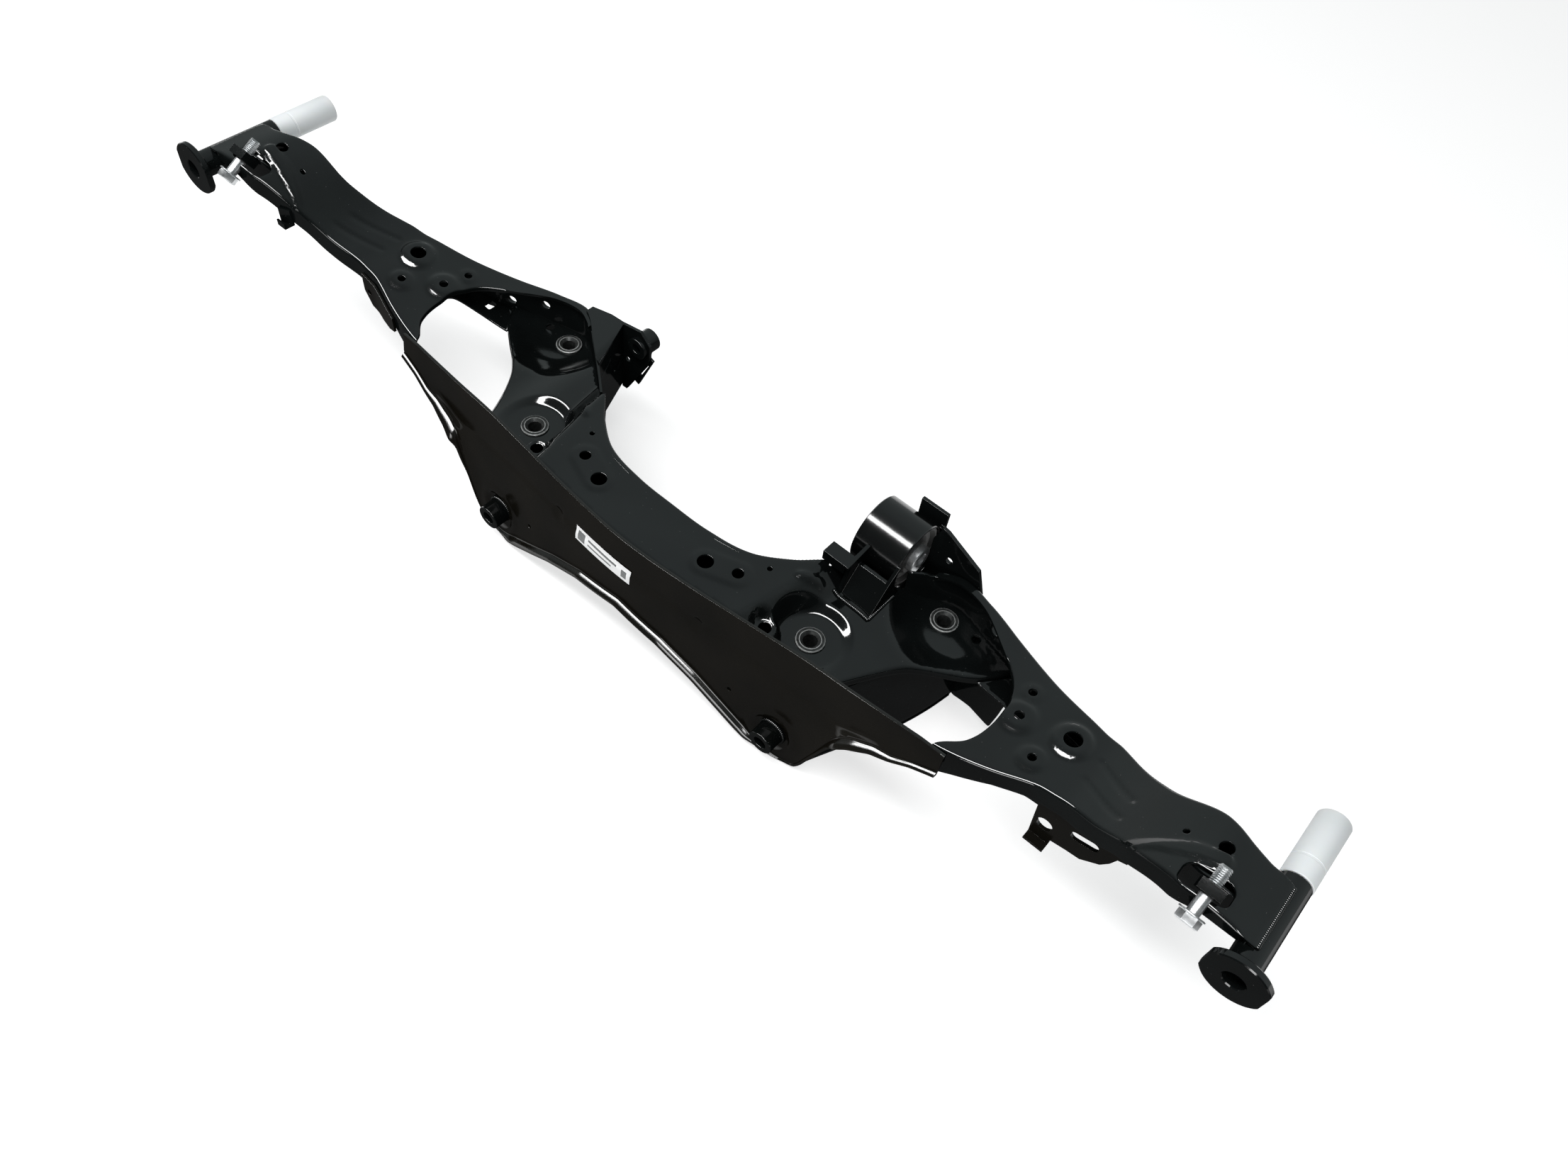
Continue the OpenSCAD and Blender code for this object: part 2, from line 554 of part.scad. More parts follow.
// Triangular plate behind the bush, welded to the arm's rear wall
gusset_y = max([for (x = steps(205, 245, 20)) curve(rear_line, x)]) + weld_gap;
module gusset_plate() color(black) {
    x0 = cheek_x1 + weld_gap;
    difference() {
        side_prism([[x0, -98], [x0, bush_z + 16], [x0 + 6, bush_z + 33], [x0 + 11, bush_z + 32], [234, bush_z + 13],
            [243, bush_z - 12], [243, -98]], gusset_y, gusset_y + bracket_t);
        along_y(206, 0, bush_z + 2, 7, far);
    }
}

// Bracket behind the left rear corner: a top plate and two upright plates, folded in one
left_corner = [186, 194];
left_front = [168, curve(rear_line, 168) + 4];
left_t = bracket_t - 0.5;
module left_bracket() color(black) on_side(-1) difference() {
    top = plate_z - 0.5;
    union() {
        translate([0, 0, top - left_t]) linear_extrude(left_t) polygon(concat(
            [for (x = steps(222, left_front[0], 12)) [x, curve(rear_line, x) + weld_gap * slant(rear_line, x)]],
            [left_front, left_corner, [202, 193], [222, 187.5]]));
        translate([0, 0, top - 74]) linear_extrude(74) polygon([left_front, left_corner,
            left_corner + [left_t, -1], left_front + [left_t, -1]]);
        side_prism([[187, top], [162, top + 5], [150, top - 6], [150, top - 22], [155, top - 36], [181, top - 82],
            [187, top - 82]], left_corner[1] - left_t, left_corner[1]);
    }
    along_y(nut_tube_x, 0, nut_tube_z, nut_tube_od + 2 * weld_gap, far);
    along_y(179, 0, plate_z - 41, 6, far);
}
nut_tube_x = 163;
nut_tube_z = plate_z - 14;
module nut_tube() color(black) on_side(-1) difference() {
    along_y(nut_tube_x, left_corner[1] - 8, nut_tube_z, nut_tube_od, nut_tube_len);
    along_y(nut_tube_x, 0, nut_tube_z, nut_tube_bore, far);
}
// Small slotted clip along the lower edge of the left bracket
module slotted_clip() color(black) on_side(-1) {
    y0 = left_corner[1] + weld_gap;
    difference() {
        translate([0, 0, plate_z])
            side_prism([[148, -26], [153, -24], [177, -66], [168, -70]], y0, y0 + 2.5);
        translate([0, 0, plate_z])
            side_prism([[154.5, -36], [157, -34.5], [167.5, -54], [164.5, -55.5]], 0, far);
    }
}

// Link bracket that hangs from the right arm, with a round hole, a slot and a folded tab
link_y = lower_front[2][1] - weld_gap - 3;
module link_bracket() color(black_brown) {
    xs = steps(384, half_span - 89, 12);
    difference() {
        intersection() {
            side_prism(concat([for (x = xs) [x, curve(skin_line, x) - 14]],
                [[half_span - 89, -70], [half_span - 96, -73], [half_span - 99, -84], [half_span - 104, -94],
                 [half_span - 118, -106], [half_span - 130, -108], [407, -111], [407, -120], [389, -119]]),
                link_y, link_y + 3);
            translate([0, -far, -far]) cube([far * 2, 2 * far, 2 * far]);
        }
        along_y(397, 0, -97, 14, far);
        translate([half_span - 122, 0, -81]) rotate([90, -14, 0])
            translate([0, 0, -far]) linear_extrude(2 * far) round_rect(24, 10, 4.9);
    }
    translate([389, link_y - 8, -120]) cube([18, 8.1, 2.5]);
}

// Patch on the left arm's lip
module lip_patch() color(black_brown) on_side(-1) difference() {
    intersection() {
        band(front_line, 338, 397, 20, -weld_gap - 2.5, -weld_gap);
        side_prism([[338, -68], [397, -58], [397, -78], [388, -92], [368, -95], [352, -91], [338, -84]]);
    }
    along_y(389, -far, -76, 6, 2 * far);
}

// Clip for a wire under the left arm
module wire_clip() color(black) on_side(-1) {
    x0 = half_span - 91;
    w = 11;
    low = curve(skin_line, x0) - lip_depth - 2.5;
    y0 = curve(front_line, x0 + w) - weld_gap - 2;
    y1 = curve(front_line, x0) - weld_gap;
    intersection() {
        band(front_line, x0, x0 + w, 6, -weld_gap - 2, -weld_gap);
        translate([x0, -far, low]) cube([w, 2 * far, 17]);
    }
    translate([x0, y0 - 4, low]) cube([w, y1 - y0 + 4, 1.8]);
    translate([x0, y0 - 4, low]) cube([w, 1.8, 6]);
}

// Plain label on the web
module label() color(white) {
    x0 = -label_l + 12;
    z1 = -91.5;
    loft([for (x = steps(x0, x0 + label_l, 8))
        let (c = ramp(crease_line, x), low = ramp(web_low, x) + web_t, d = crease_fwd,
             y = curve(web_line, x), r = (ramp(lean_line, x) - d) / (c - low),
             ya = y - d - weld_gap, yb = y - d - max(c - z1 + label_h, 0) * r - weld_gap)
        [[x, ya, z1], [x, ya - 0.4, z1], [x, yb - 0.4, z1 - label_h], [x, yb, z1 - label_h]]]);
}

upper_arm_left();
upper_arm_right();
lower_arm_left();
lower_arm_right();
front_web();
centre_pan();
rear_panel();
floor_pan();
side_wall_left();
side_wall_right();
end_tube_left();
end_tube_right();
end_flange_left();
end_flange_right();
sleeve_left();
sleeve_right();
clamp_bolt_left();
clamp_bolt_right();
weld_nut_left();
weld_nut_right();
collar_front_left();
collar_front_right();
collar_rear_left();
collar_rear_right();
boss_left();
boss_right();
bush_outer();
bush_rubber();
bush_core();
bush_bracket();
gusset_plate();
left_bracket();
nut_tube();
slotted_clip();
link_bracket();
lip_patch();
wire_clip();
label();
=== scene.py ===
import math

import bmesh
import bpy
import numpy as np
from mathutils import Matrix, Vector, kdtree
from mathutils.geometry import delaunay_2d_cdt


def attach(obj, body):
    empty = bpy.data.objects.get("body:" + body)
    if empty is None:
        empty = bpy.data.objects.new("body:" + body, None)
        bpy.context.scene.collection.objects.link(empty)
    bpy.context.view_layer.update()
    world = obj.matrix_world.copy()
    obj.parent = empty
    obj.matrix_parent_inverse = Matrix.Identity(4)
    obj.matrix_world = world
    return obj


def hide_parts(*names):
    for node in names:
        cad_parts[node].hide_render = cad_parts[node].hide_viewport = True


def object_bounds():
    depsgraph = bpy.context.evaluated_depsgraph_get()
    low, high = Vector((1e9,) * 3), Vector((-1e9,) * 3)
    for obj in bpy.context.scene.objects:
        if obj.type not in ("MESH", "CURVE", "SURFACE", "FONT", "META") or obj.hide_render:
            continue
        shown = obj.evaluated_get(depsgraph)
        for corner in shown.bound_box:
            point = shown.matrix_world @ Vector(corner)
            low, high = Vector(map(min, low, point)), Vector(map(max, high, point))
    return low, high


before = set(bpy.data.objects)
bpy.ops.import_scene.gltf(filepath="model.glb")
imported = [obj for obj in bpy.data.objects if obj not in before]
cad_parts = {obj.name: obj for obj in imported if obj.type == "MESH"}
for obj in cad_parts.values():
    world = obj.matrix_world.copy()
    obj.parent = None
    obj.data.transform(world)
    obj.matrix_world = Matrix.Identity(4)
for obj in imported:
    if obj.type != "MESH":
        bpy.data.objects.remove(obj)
cad_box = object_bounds()

# Camera
# Stands in front of the right end and looks down on the part as it lies on the floor, with both ends in view.
def stand(name, data):
    """Stands data in the scene as an object."""
    thing = bpy.data.objects.new(name, data)
    bpy.context.scene.collection.objects.link(thing)
    return thing


lens = bpy.data.cameras.new("standing_view")
lens.sensor_fit = "HORIZONTAL"
lens.sensor_width = 36.0
lens.lens = 27.505
camera = stand("standing_view", lens)
across = (0.7517, 0.6520, 0.0991)
upward = (-0.5760, 0.5759, 0.5802)
behind = (0.3213, -0.4932, 0.8084)
eye = (0.4373, -0.4124, 0.7231)
camera.matrix_world = Matrix([*zip(across, upward, behind, eye), (0, 0, 0, 1)])
bpy.context.scene.camera = camera
bpy.context.scene.view_settings.view_transform = "Standard"


# Floor and light
# A pale floor in a plain grey room that is brighter behind the part. A strip lamp hangs over the part and
# draws the white lines along its edges, and a small box fills the front.
def tint(code):
    """Linear colour of an sRGB hex code."""
    parts = [int(code[i:i + 2], 16) / 255 for i in (1, 3, 5)]
    return (*[p / 12.92 if p <= 0.04045 else ((p + 0.055) / 1.055) ** 2.4 for p in parts], 1.0)


def put(tree, kind, sockets=None, feeds=None, **settings):
    """Adds one node, with its settings, the values of its sockets, and the links that feed it."""
    node = tree.nodes.new(kind)
    for key, value in settings.items():
        setattr(node, key, value)
    for key, value in (sockets or {}).items():
        node.inputs[key].default_value = value
    for key, (source, output) in (feeds or {}).items():
        tree.links.new(source.outputs[output], node.inputs[key])
    return node


def stops(ramp, *points):
    """Sets a colour ramp to the given places and hex colours."""
    while len(ramp.elements) > 1:
        ramp.elements.remove(ramp.elements[-1])
    for i, (place, code) in enumerate(points):
        mark = ramp.elements[0] if i == 0 else ramp.elements.new(place)
        mark.position = place
        mark.color = tint(code)


def new_finish(name):
    """An empty material and its node tree."""
    material = bpy.data.materials.new(name)
    material.use_nodes = True
    material.node_tree.nodes.clear()
    return material, material.node_tree


room = bpy.data.worlds.new("grey_room")
bpy.context.scene.world = room
room.use_nodes = True
tree = room.node_tree
tree.nodes.clear()
place = put(tree, "ShaderNodeTexCoord")
height = put(tree, "ShaderNodeSeparateXYZ", feeds={"Vector": (place, "Generated")})
shade = put(tree, "ShaderNodeValToRGB", feeds={"Fac": (height, "Z")})
stops(shade.color_ramp, (0.0, "#8b9190"), (0.12, "#838989"), (0.42, "#717878"), (1.0, "#606667"))
ahead = put(tree, "ShaderNodeMapRange", {"From Min": -0.5, "From Max": 0.45, "To Min": 0.2, "To Max": 1.0},
            {"Value": (height, "Y")})
sky = put(tree, "ShaderNodeBackground", feeds={"Color": (shade, "Color"), "Strength": (ahead, "Result")})
put(tree, "ShaderNodeOutputWorld", feeds={"Surface": (sky, "Background")})

# Pale matt floor paint: it takes the shadow, and shows white to the eye and in mirrors.
floor_paint, tree = new_finish("pale_floor_paint")
rays = put(tree, "ShaderNodeLightPath")
seen = put(tree, "ShaderNodeMath", feeds={0: (rays, "Is Camera Ray"), 1: (rays, "Is Glossy Ray")},
           operation="MAXIMUM")
seen = put(tree, "ShaderNodeMath", feeds={0: (seen, 0), 1: (rays, "Is Transmission Ray")},
           operation="MAXIMUM")
glow = put(tree, "ShaderNodeMath", {1: 0.64}, {0: (seen, 0)}, operation="MULTIPLY")
matt = put(tree, "ShaderNodeBsdfDiffuse", {"Color": tint("#d9d9d9")})
lift = put(tree, "ShaderNodeEmission", {"Color": tint("#ffffff")}, {"Strength": (glow, 0)})
both = put(tree, "ShaderNodeAddShader", feeds={0: (matt, 0), 1: (lift, 0)})
put(tree, "ShaderNodeOutputMaterial", feeds={"Surface": (both, 0)})

floor_mesh = bpy.data.meshes.new("floor")
reach = 9.0
floor_z = cad_box[0][2]
corners = [(i * reach, j * reach, floor_z) for i, j in ((-1, -1), (1, -1), (1, 1), (-1, 1))]
floor_mesh.from_pydata(corners, [], [(0, 1, 2, 3)])
floor_mesh.materials.append(floor_paint)
floor = stand("floor", floor_mesh)

for lamp_name, spot, target, size, brightness in (
        ("strip_lamp", (-0.9, -0.65, 2.25), (-0.9, 0.05, -0.1), (4.2, 0.55), 10.0),
        ("front_fill", (1.2, -2.6, 1.3), (0.0, 0.0, -0.1), (1.6, 1.2), 4.6)):
    lamp = bpy.data.lights.new(lamp_name, "AREA")
    lamp.shape = "RECTANGLE"
    lamp.size, lamp.size_y = size
    lamp.energy = brightness * math.pi * size[0] * size[1]
    holder = stand(lamp_name, lamp)
    holder.location = spot
    holder.rotation_euler = (Vector(target) - Vector(spot)).to_track_quat("-Z", "Y").to_euler()
    holder.visible_camera = False


# Upper arms
# The top half of each arm is one steel pressing, 2.5 mm thick: a top skin that steps up to the end pad, a
# rear wall and a front lip, bent over a small radius, with swaged holes and two drawn grooves. It is dipped
# in gloss black with the whole part.
def spline(t, a, b, leave, arrive, width=1.0):
    """Smooth way from a to b across a width, with a slope at each end."""
    return ((2 * t ** 3 - 3 * t ** 2 + 1) * a + (t ** 3 - 2 * t ** 2 + t) * leave * width
            + (3 * t ** 2 - 2 * t ** 3) * b + (t ** 3 - t ** 2) * arrive * width)


def batten(points, x):
    """Smooth line through given points, level at its first, read at the distance from the middle."""
    px, py = np.array(points, float).T
    x = np.abs(np.asarray(x, float))
    i = np.clip(np.searchsorted(px, x, side="right") - 1, 0, len(px) - 2)
    rise = np.zeros(len(px))
    rise[1:-1] = (py[2:] - py[:-2]) / (px[2:] - px[:-2])
    rise[-1] = (py[-1] - py[-2]) / (px[-1] - px[-2])
    width = px[i + 1] - px[i]
    return spline((x - px[i]) / width, py[i], py[i + 1], rise[i], rise[i + 1], width)


def straight(points, x):
    """Straight lines through given points, read at the distance from the middle."""
    px, py = np.array(points, float).T
    return np.interp(np.abs(x), px, py)


def slant(points, x):
    """How much longer a wall is across a line that runs at a slant."""
    grade = (batten(points, np.asarray(x) + 1.0) - batten(points, np.asarray(x) - 1.0)) / 2
    return np.sqrt(1 + grade ** 2)


def on_line(points, x, inset=0.0):
    """Places on a line in plan, moved in by a distance square to it."""
    return np.stack([x, batten(points, x) - inset * slant(points, x)], 1)


def off_line(points, x, y):
    """How far places in plan lie in from a line, square to it."""
    return (batten(points, x) - y) / slant(points, x)


def trail(points, n):
    """Smooth path in the plane through given points, with n steps between them."""
    p = np.array(points, float)
    out = []
    for i in range(len(p) - 1):
        a, b = p[i], p[i + 1]
        leave = (b - p[max(i - 1, 0)]) / 2
        arrive = (p[min(i + 2, len(p) - 1)] - a) / 2
        out += [spline(t, a, b, leave, arrive) for t in np.arange(n) / n]
    return np.array(out + [p[-1]])


def ease(t):
    """Soft step from 0 to 1."""
    t = np.clip(t, 0, 1)
    return t * t * (3 - 2 * t)


def within(gap, near, run):
    """1 up to a distance, eased to 0 over the run beyond it."""
    return 1 - ease((gap - near) / run)


def ring(x, y, r, n=40):
    """A round hole's edge."""
    a = np.arange(n) * 2 * math.pi / n
    return np.stack([x + r * np.cos(a), y + r * np.sin(a)], 1)


def slot_edge(x, y, length, width, r, turn=0.0):
    """A window's edge with round corners."""
    out = []
    for k in range(4):
        cx = (length / 2 - r) * (1, -1, -1, 1)[k]
        cy = (width / 2 - r) * (1, 1, -1, -1)[k]
        a = np.radians(90 * k + np.linspace(0, 90, 9))
        out.append(np.stack([cx + r * np.cos(a), cy + r * np.sin(a)], 1))
    p = np.concatenate(out)
    c, s = math.cos(math.radians(turn)), math.sin(math.radians(turn))
    return p @ np.array([(c, s), (-s, c)]) + (x, y)


def in_loops(points, loops):
    """Which points lie inside the outline and outside the holes."""
    hit = np.zeros(len(points), bool)
    for loop in loops:
        for a, b in zip(loop, np.roll(loop, -1, 0)):
            if a[1] != b[1]:
                level = (a[1] > points[:, 1]) != (b[1] > points[:, 1])
                cross = a[0] + (points[:, 1] - a[1]) * (b[0] - a[0]) / (b[1] - a[1])
                hit ^= level & (points[:, 0] < cross)
    return hit


def gap_to(points, others):
    """Distance from each point to the nearest of the others."""
    near = kdtree.KDTree(len(others))
    for i, p in enumerate(others):
        near.insert((p[0], p[1], 0), i)
    near.balance()
    return np.array([near.find((p[0], p[1], 0))[2] for p in points])


def cut_blank(loops, pitch, rows=()):
    """Flat blank cut to its loops, the outline first, and meshed with extra rows of points along its bends.
    Gives the points, the triangles and the place of each loop's points."""
    rim = np.concatenate(loops)
    edges = []
    first = 0
    for loop in loops:
        edges += [(first + i, first + (i + 1) % len(loop)) for i in range(len(loop))]
        first += len(loop)
    fixed = rim
    for row in rows:
        row = np.asarray(row)
        row = row[in_loops(row, loops)]
        if len(row):
            row = row[gap_to(row, fixed) > 0.16]
            fixed = np.concatenate([fixed, row])
    low, high = rim.min(0), rim.max(0)
    xs = np.arange(low[0] + pitch / 2, high[0], pitch)
    ys = np.arange(low[1] + pitch / 2, high[1], pitch * 0.866)
    field = np.stack(np.meshgrid(xs, ys), -1)
    field[1::2, :, 0] += pitch / 2
    field = field.reshape(-1, 2)
    field = field[in_loops(field, loops)]
    field = field[gap_to(field, fixed) > 0.62 * pitch]
    points = np.concatenate([fixed, field])
    made = delaunay_2d_cdt([Vector(p) for p in points], edges, [], 0, 1e-5)
    flat = np.array([v[:] for v in made[0]])
    tris = np.array(made[2])
    tris = tris[in_loops(flat[tris].mean(1), loops)]
    where = {old: new for new, olds in enumerate(made[3]) for old in olds}
    chains = []
    first = 0
    for loop in loops:
        chains.append(np.array([where[first + i] for i in range(len(loop))]))
        first += len(loop)
    return flat, tris, chains


def hang_wall(verts, tris, chain, rows, closed=False):
    """Adds a wall that hangs from a row of edge points; each row gives the places of its points."""
    above = np.asarray(chain)
    for row in rows:
        below = np.arange(len(row)) + len(verts)
        verts = np.concatenate([verts, row])
        ahead = np.roll(above, -1) if closed else above[1:]
        ahead_below = np.roll(below, -1) if closed else below[1:]
        a, b = (above, below) if closed else (above[:-1], below[:-1])
        tris = np.concatenate([tris, np.stack([a, b, ahead_below], 1), np.stack([a, ahead_below, ahead], 1)])
        above = below
    return verts, tris


def skin_normals(verts, tris):
    """Outward direction at each point, weighted by the angles of the faces that meet there."""
    p = verts[tris]
    face = np.cross(p[:, 1] - p[:, 0], p[:, 2] - p[:, 0])
    face /= np.maximum(np.linalg.norm(face, axis=1, keepdims=True), 1e-12)
    total = np.zeros_like(verts)
    for k in range(3):
        a = p[:, (k + 1) % 3] - p[:, k]
        b = p[:, (k + 2) % 3] - p[:, k]
        size = np.linalg.norm(a, axis=1) * np.linalg.norm(b, axis=1)
        angle = np.arccos(np.clip((a * b).sum(1) / np.maximum(size, 1e-12), -1, 1))
        np.add.at(total, tris[:, k], face * angle[:, None])
    return total / np.maximum(np.linalg.norm(total, axis=1, keepdims=True), 1e-12)


def give_gauge(verts, tris, gauge, round_off=0.45):
    """Gives a pressed skin its thickness below the outer face, with slightly rounded sheared edges."""
    n = len(verts)
    normal = skin_normals(verts, tris)
    sides = np.concatenate([tris[:, [0, 1]], tris[:, [1, 2]], tris[:, [2, 0]]])
    there = set(map(tuple, sides))
    free = np.array([s for s in map(tuple, sides) if (s[1], s[0]) not in there])
    run = verts[free[:, 1]] - verts[free[:, 0]]
    run /= np.maximum(np.linalg.norm(run, axis=1, keepdims=True), 1e-12)
    out = np.zeros_like(verts)
    for k in range(2):
        np.add.at(out, free[:, k], np.cross(run, normal[free[:, k]]))
    out /= np.maximum(np.linalg.norm(out, axis=1, keepdims=True), 1e-12)
    rim = np.unique(free)
    place = np.zeros(n, int)
    place[rim] = np.arange(len(rim))
    c = round_off
    profile = ((0.7 * c, 0.3 * c), (c, c), (c, gauge - c), (0.7 * c, gauge - 0.3 * c))
    layers = [verts, verts - normal * gauge]
    layers += [verts[rim] + out[rim] * o - normal[rim] * d for o, d in profile]
    rows = [free] + [2 * n + k * len(rim) + place[free] for k in range(len(profile))] + [free + n]
    faces = [tris, tris[:, ::-1] + n]
    for upper, lower in zip(rows[:-1], rows[1:]):
        faces.append(np.stack([upper[:, 0], lower[:, 0], lower[:, 1]], 1))
        faces.append(np.stack([upper[:, 0], lower[:, 1], upper[:, 1]], 1))
    return np.concatenate(layers), np.concatenate(faces)


def make_piece(name, verts, faces, finish, corner=40):
    """A piece with its places in mm, smooth but for corners sharper than the angle."""
    mesh = bpy.data.meshes.new(name)
    mesh.from_pydata((np.asarray(verts) * 0.001).tolist(), [], [list(map(int, f)) for f in faces])
    mesh.validate()
    mesh.materials.append(finish)
    mesh.shade_smooth()
    mesh.set_sharp_from_angle(angle=math.radians(corner))
    return stand(name, mesh)


def on_side(s, verts, faces):
    """A piece for the right side, 1, or the left, -1, with its faces turned the right way round."""
    return verts * (s, 1, 1), faces[:, ::s]


def marks(size):
    """Scale of a pattern whose marks are a size in mm."""
    return 1000 / size


def dip_paint(name, dark, pale, gloss, lie, dust):
    """Dipped black paint: two tones that cloud into each other, a range of roughness, faint orange peel and a
    little dust. The coat runs off walls and undersides: below the range of upward lie it is thin and matt."""
    finish, tree = new_finish(name)
    place = put(tree, "ShaderNodeTexCoord")
    here = {"Vector": (place, "Object")}
    cloud = put(tree, "ShaderNodeTexNoise", {"Scale": marks(71.43), "Detail": 3.0}, here)
    body = put(tree, "ShaderNodeValToRGB", feeds={"Fac": (cloud, "Fac")})
    stops(body.color_ramp, (0.35, dark), (0.65, pale))
    grit = put(tree, "ShaderNodeTexVoronoi", {"Scale": marks(7.143)}, here)
    speck = put(tree, "ShaderNodeValToRGB", feeds={"Fac": (grit, "Distance")})
    stops(speck.color_ramp, (0.035, "#6a6c6a"), (0.06, "#000000"))
    dusty = put(tree, "ShaderNodeMix", {"Factor": dust}, {6: (body, "Color"), 7: (speck, "Color")},
                data_type="RGBA", blend_type="ADD")
    film = put(tree, "ShaderNodeTexNoise", {"Scale": marks(26.32), "Detail": 4.0}, here)
    shine = put(tree, "ShaderNodeMapRange", {"To Min": gloss[0], "To Max": gloss[1]},
                {"Value": (film, "Fac")})
    up = put(tree, "ShaderNodeSeparateXYZ", feeds={"Vector": (place, "Normal")})
    wet = put(tree, "ShaderNodeMapRange",
              {"From Min": lie[0], "From Max": lie[1], "To Min": 0.03, "To Max": 1.0}, {"Value": (up, "Z")})
    peel = put(tree, "ShaderNodeTexNoise", {"Scale": marks(2.381), "Detail": 1.0}, here)
    relief = put(tree, "ShaderNodeBump", {"Strength": 0.05, "Distance": 0.0004}, {"Height": (peel, "Fac")})
    thin = put(tree, "ShaderNodeBsdfDiffuse", feeds={"Color": (dusty, 2), "Normal": (relief, "Normal")})
    coat = put(tree, "ShaderNodeBsdfPrincipled", {"IOR": 1.7, "Specular IOR Level": 1.0},
               {"Base Color": (dusty, 2), "Roughness": (shine, "Result"), "Normal": (relief, "Normal")})
    both = put(tree, "ShaderNodeMixShader", feeds={0: (wet, "Result"), 1: (thin, "BSDF"), 2: (coat, "BSDF")})
    put(tree, "ShaderNodeOutputMaterial", feeds={"Surface": (both, 0)})
    return finish


# Gloss black dip paint on steel: a cold near-black with a wet gloss on all that faces up.
black_paint = dip_paint("gloss_black_dip_paint", "#090b0b", "#101313", (0.05, 0.14), (0.45, 0.9), 0.35)

sheet = 2.5
gap = 0.3
lap = sheet + gap
hands = ((1, "right"), (-1, "left"))
arm_end = 537.7
skin_end = 548.0
strip_x = 206.0
rear_line = [(0, 67), (40, 68), (80, 75.5), (110, 95), (132, 117), (185, 159), (222, 184), (258, 179),
             (296, 166), (345, 147), (393, 133), (410, 128), (445, 106), (462, 97), (490, 92.5), (515, 82),
             (548, 76)]
front_line = [(290, 37.3), (316, 40.5), (345, 47.5), (376, 57), (392, 58.5), (405, 58), (425, 51.5),
              (445, 44), (460, 36), (480, 28), (497, 21.5), (520, 20), (548, 21)]
skin_line = [(0, -63), (200, -65), (290, -65.5), (334, -60.5), (377, -53), (405, -47.5), (435, -31.3),
             (455, -11), (476, 6.5), (500, 18.5), (515, 20), (548, 14.8)]
lip_depth = [(290, 39), (321, 27), (350, 19), (490, 19), (512, 12), (550, 7)]
rear_depth = [(200, 42), (300, 46), (371, 52), (430, 48), (500, 32), (550, 28)]
arm_edge = trail([(206, 167), (228, 176), (256, 170.5), (284, 152.5), (309.5, 131.5), (320.5, 110), (322, 82),
                  (316, 60), (303, 46.5), (298, 38)], 12)
rear_holes = [(271, -83), (306, -91)]
rear_hole_r = 5.5
arm_bend = 3.5
edge_bend = 1.6


def roll_off(d, r):
    """How far a bent edge has dropped at a distance from its outer face."""
    return r - np.sqrt(np.maximum(r * r - (r - np.clip(d, 0, r)) ** 2, 0))


def off_path(points, path):
    """Distance from each point to a path of straight pieces."""
    best = np.full(len(points), 1e9)
    for a, b in zip(path[:-1], path[1:]):
        t = np.clip(((points - a) @ (b - a)) / max((b - a) @ (b - a), 1e-9), 0, 1)
        best = np.minimum(best, np.linalg.norm(points - a - t[:, None] * (b - a), axis=1))
    return best


def beside(path, d):
    """The path moved to its left by a distance."""
    run = np.gradient(path, axis=0)
    run /= np.linalg.norm(run, axis=1, keepdims=True)
    return path + np.stack([-run[:, 1], run[:, 0]], 1) * d


bend_turns = np.radians([12, 24, 36, 48, 60, 75, 90])
arm_holes = [(501.5, 66, 5.5), (476, 66, 2.5), (377, 108.5, 7.75), (334, 102, 4.5), (330, 128, 4),
             (362, 76, 4)]
pad_window = slot_edge(504, 35, 37, 20, 7)
front_x = np.append(np.arange(299.0, arm_end - 1, 2), [arm_end, 541, 544.5, skin_end])
rear_x = front_x[::-1]
rear_x = np.concatenate([rear_x, np.arange(297.0, strip_x, -2), [strip_x]])
front_edge = on_line(front_line, front_x)
rear_edge = on_line(rear_line, rear_x)
end_edge = np.linspace(front_edge[-1], rear_edge[0], 26)[1:-1]
arm_loops = [np.concatenate([front_edge, end_edge, rear_edge, arm_edge[:-1]])]
arm_loops += [ring(*hole) for hole in arm_holes] + [pad_window]
arm_rows = []
for turn in bend_turns:
    inset = arm_bend * (1 - math.cos(turn))
    arm_rows.append(on_line(rear_line, rear_x, inset))
    arm_rows.append(on_line(front_line, front_x, -inset))
    arm_rows.append(beside(arm_edge, edge_bend * (1 - math.cos(turn))))
for x, y, r in arm_holes:
    arm_rows += [ring(x, y, r + k) for k in (0.7, 1.5, 2.5)]
flat, tris, chains = cut_blank(arm_loops, 2.6, arm_rows)
x, y = flat.T
z = batten(skin_line, x)
# The press rounds the step up to the pad.
eased = np.mean([batten(skin_line, np.clip(x + s, 0, skin_end)) for s in np.linspace(-13, 13, 9)], 0)
z = z + (eased - z) * ease((x - 402) / 15) * within(x, 480, 15)
# Raised swages stand round four holes.
swages = ((377, 108.5, 11.5, 19.5, 3.2), (334, 102, 9, 19, 2.8), (362, 76, 7, 14.5, 2.2),
          (330, 128, 6, 11, 1.0))
for cx, cy, near, far, high in swages:
    z = z + high * within(np.hypot(x - cx, y - cy), near, far - near)
# A raised teardrop lies on the pad, and two grooves run down the step.
teardrop = np.array([(448.0, 40.0), (466.0, 48.0), (486.0, 54.0), (504.0, 56.0)])
teardrop_high = 1.9
teardrop_half = 0.8 + 3.4 * ease((x - 450) / 38)
z = z + teardrop_high * ease((x - 446) / 18) * within(off_path(flat, teardrop), teardrop_half, 3.2)
groove_deep = 0.9
for groove in (((403, 106), (437, 82)), ((402, 85), (436, 64))):
    z = z - groove_deep * within(off_path(flat, np.array(groove, float)), 0.9, 2.4)
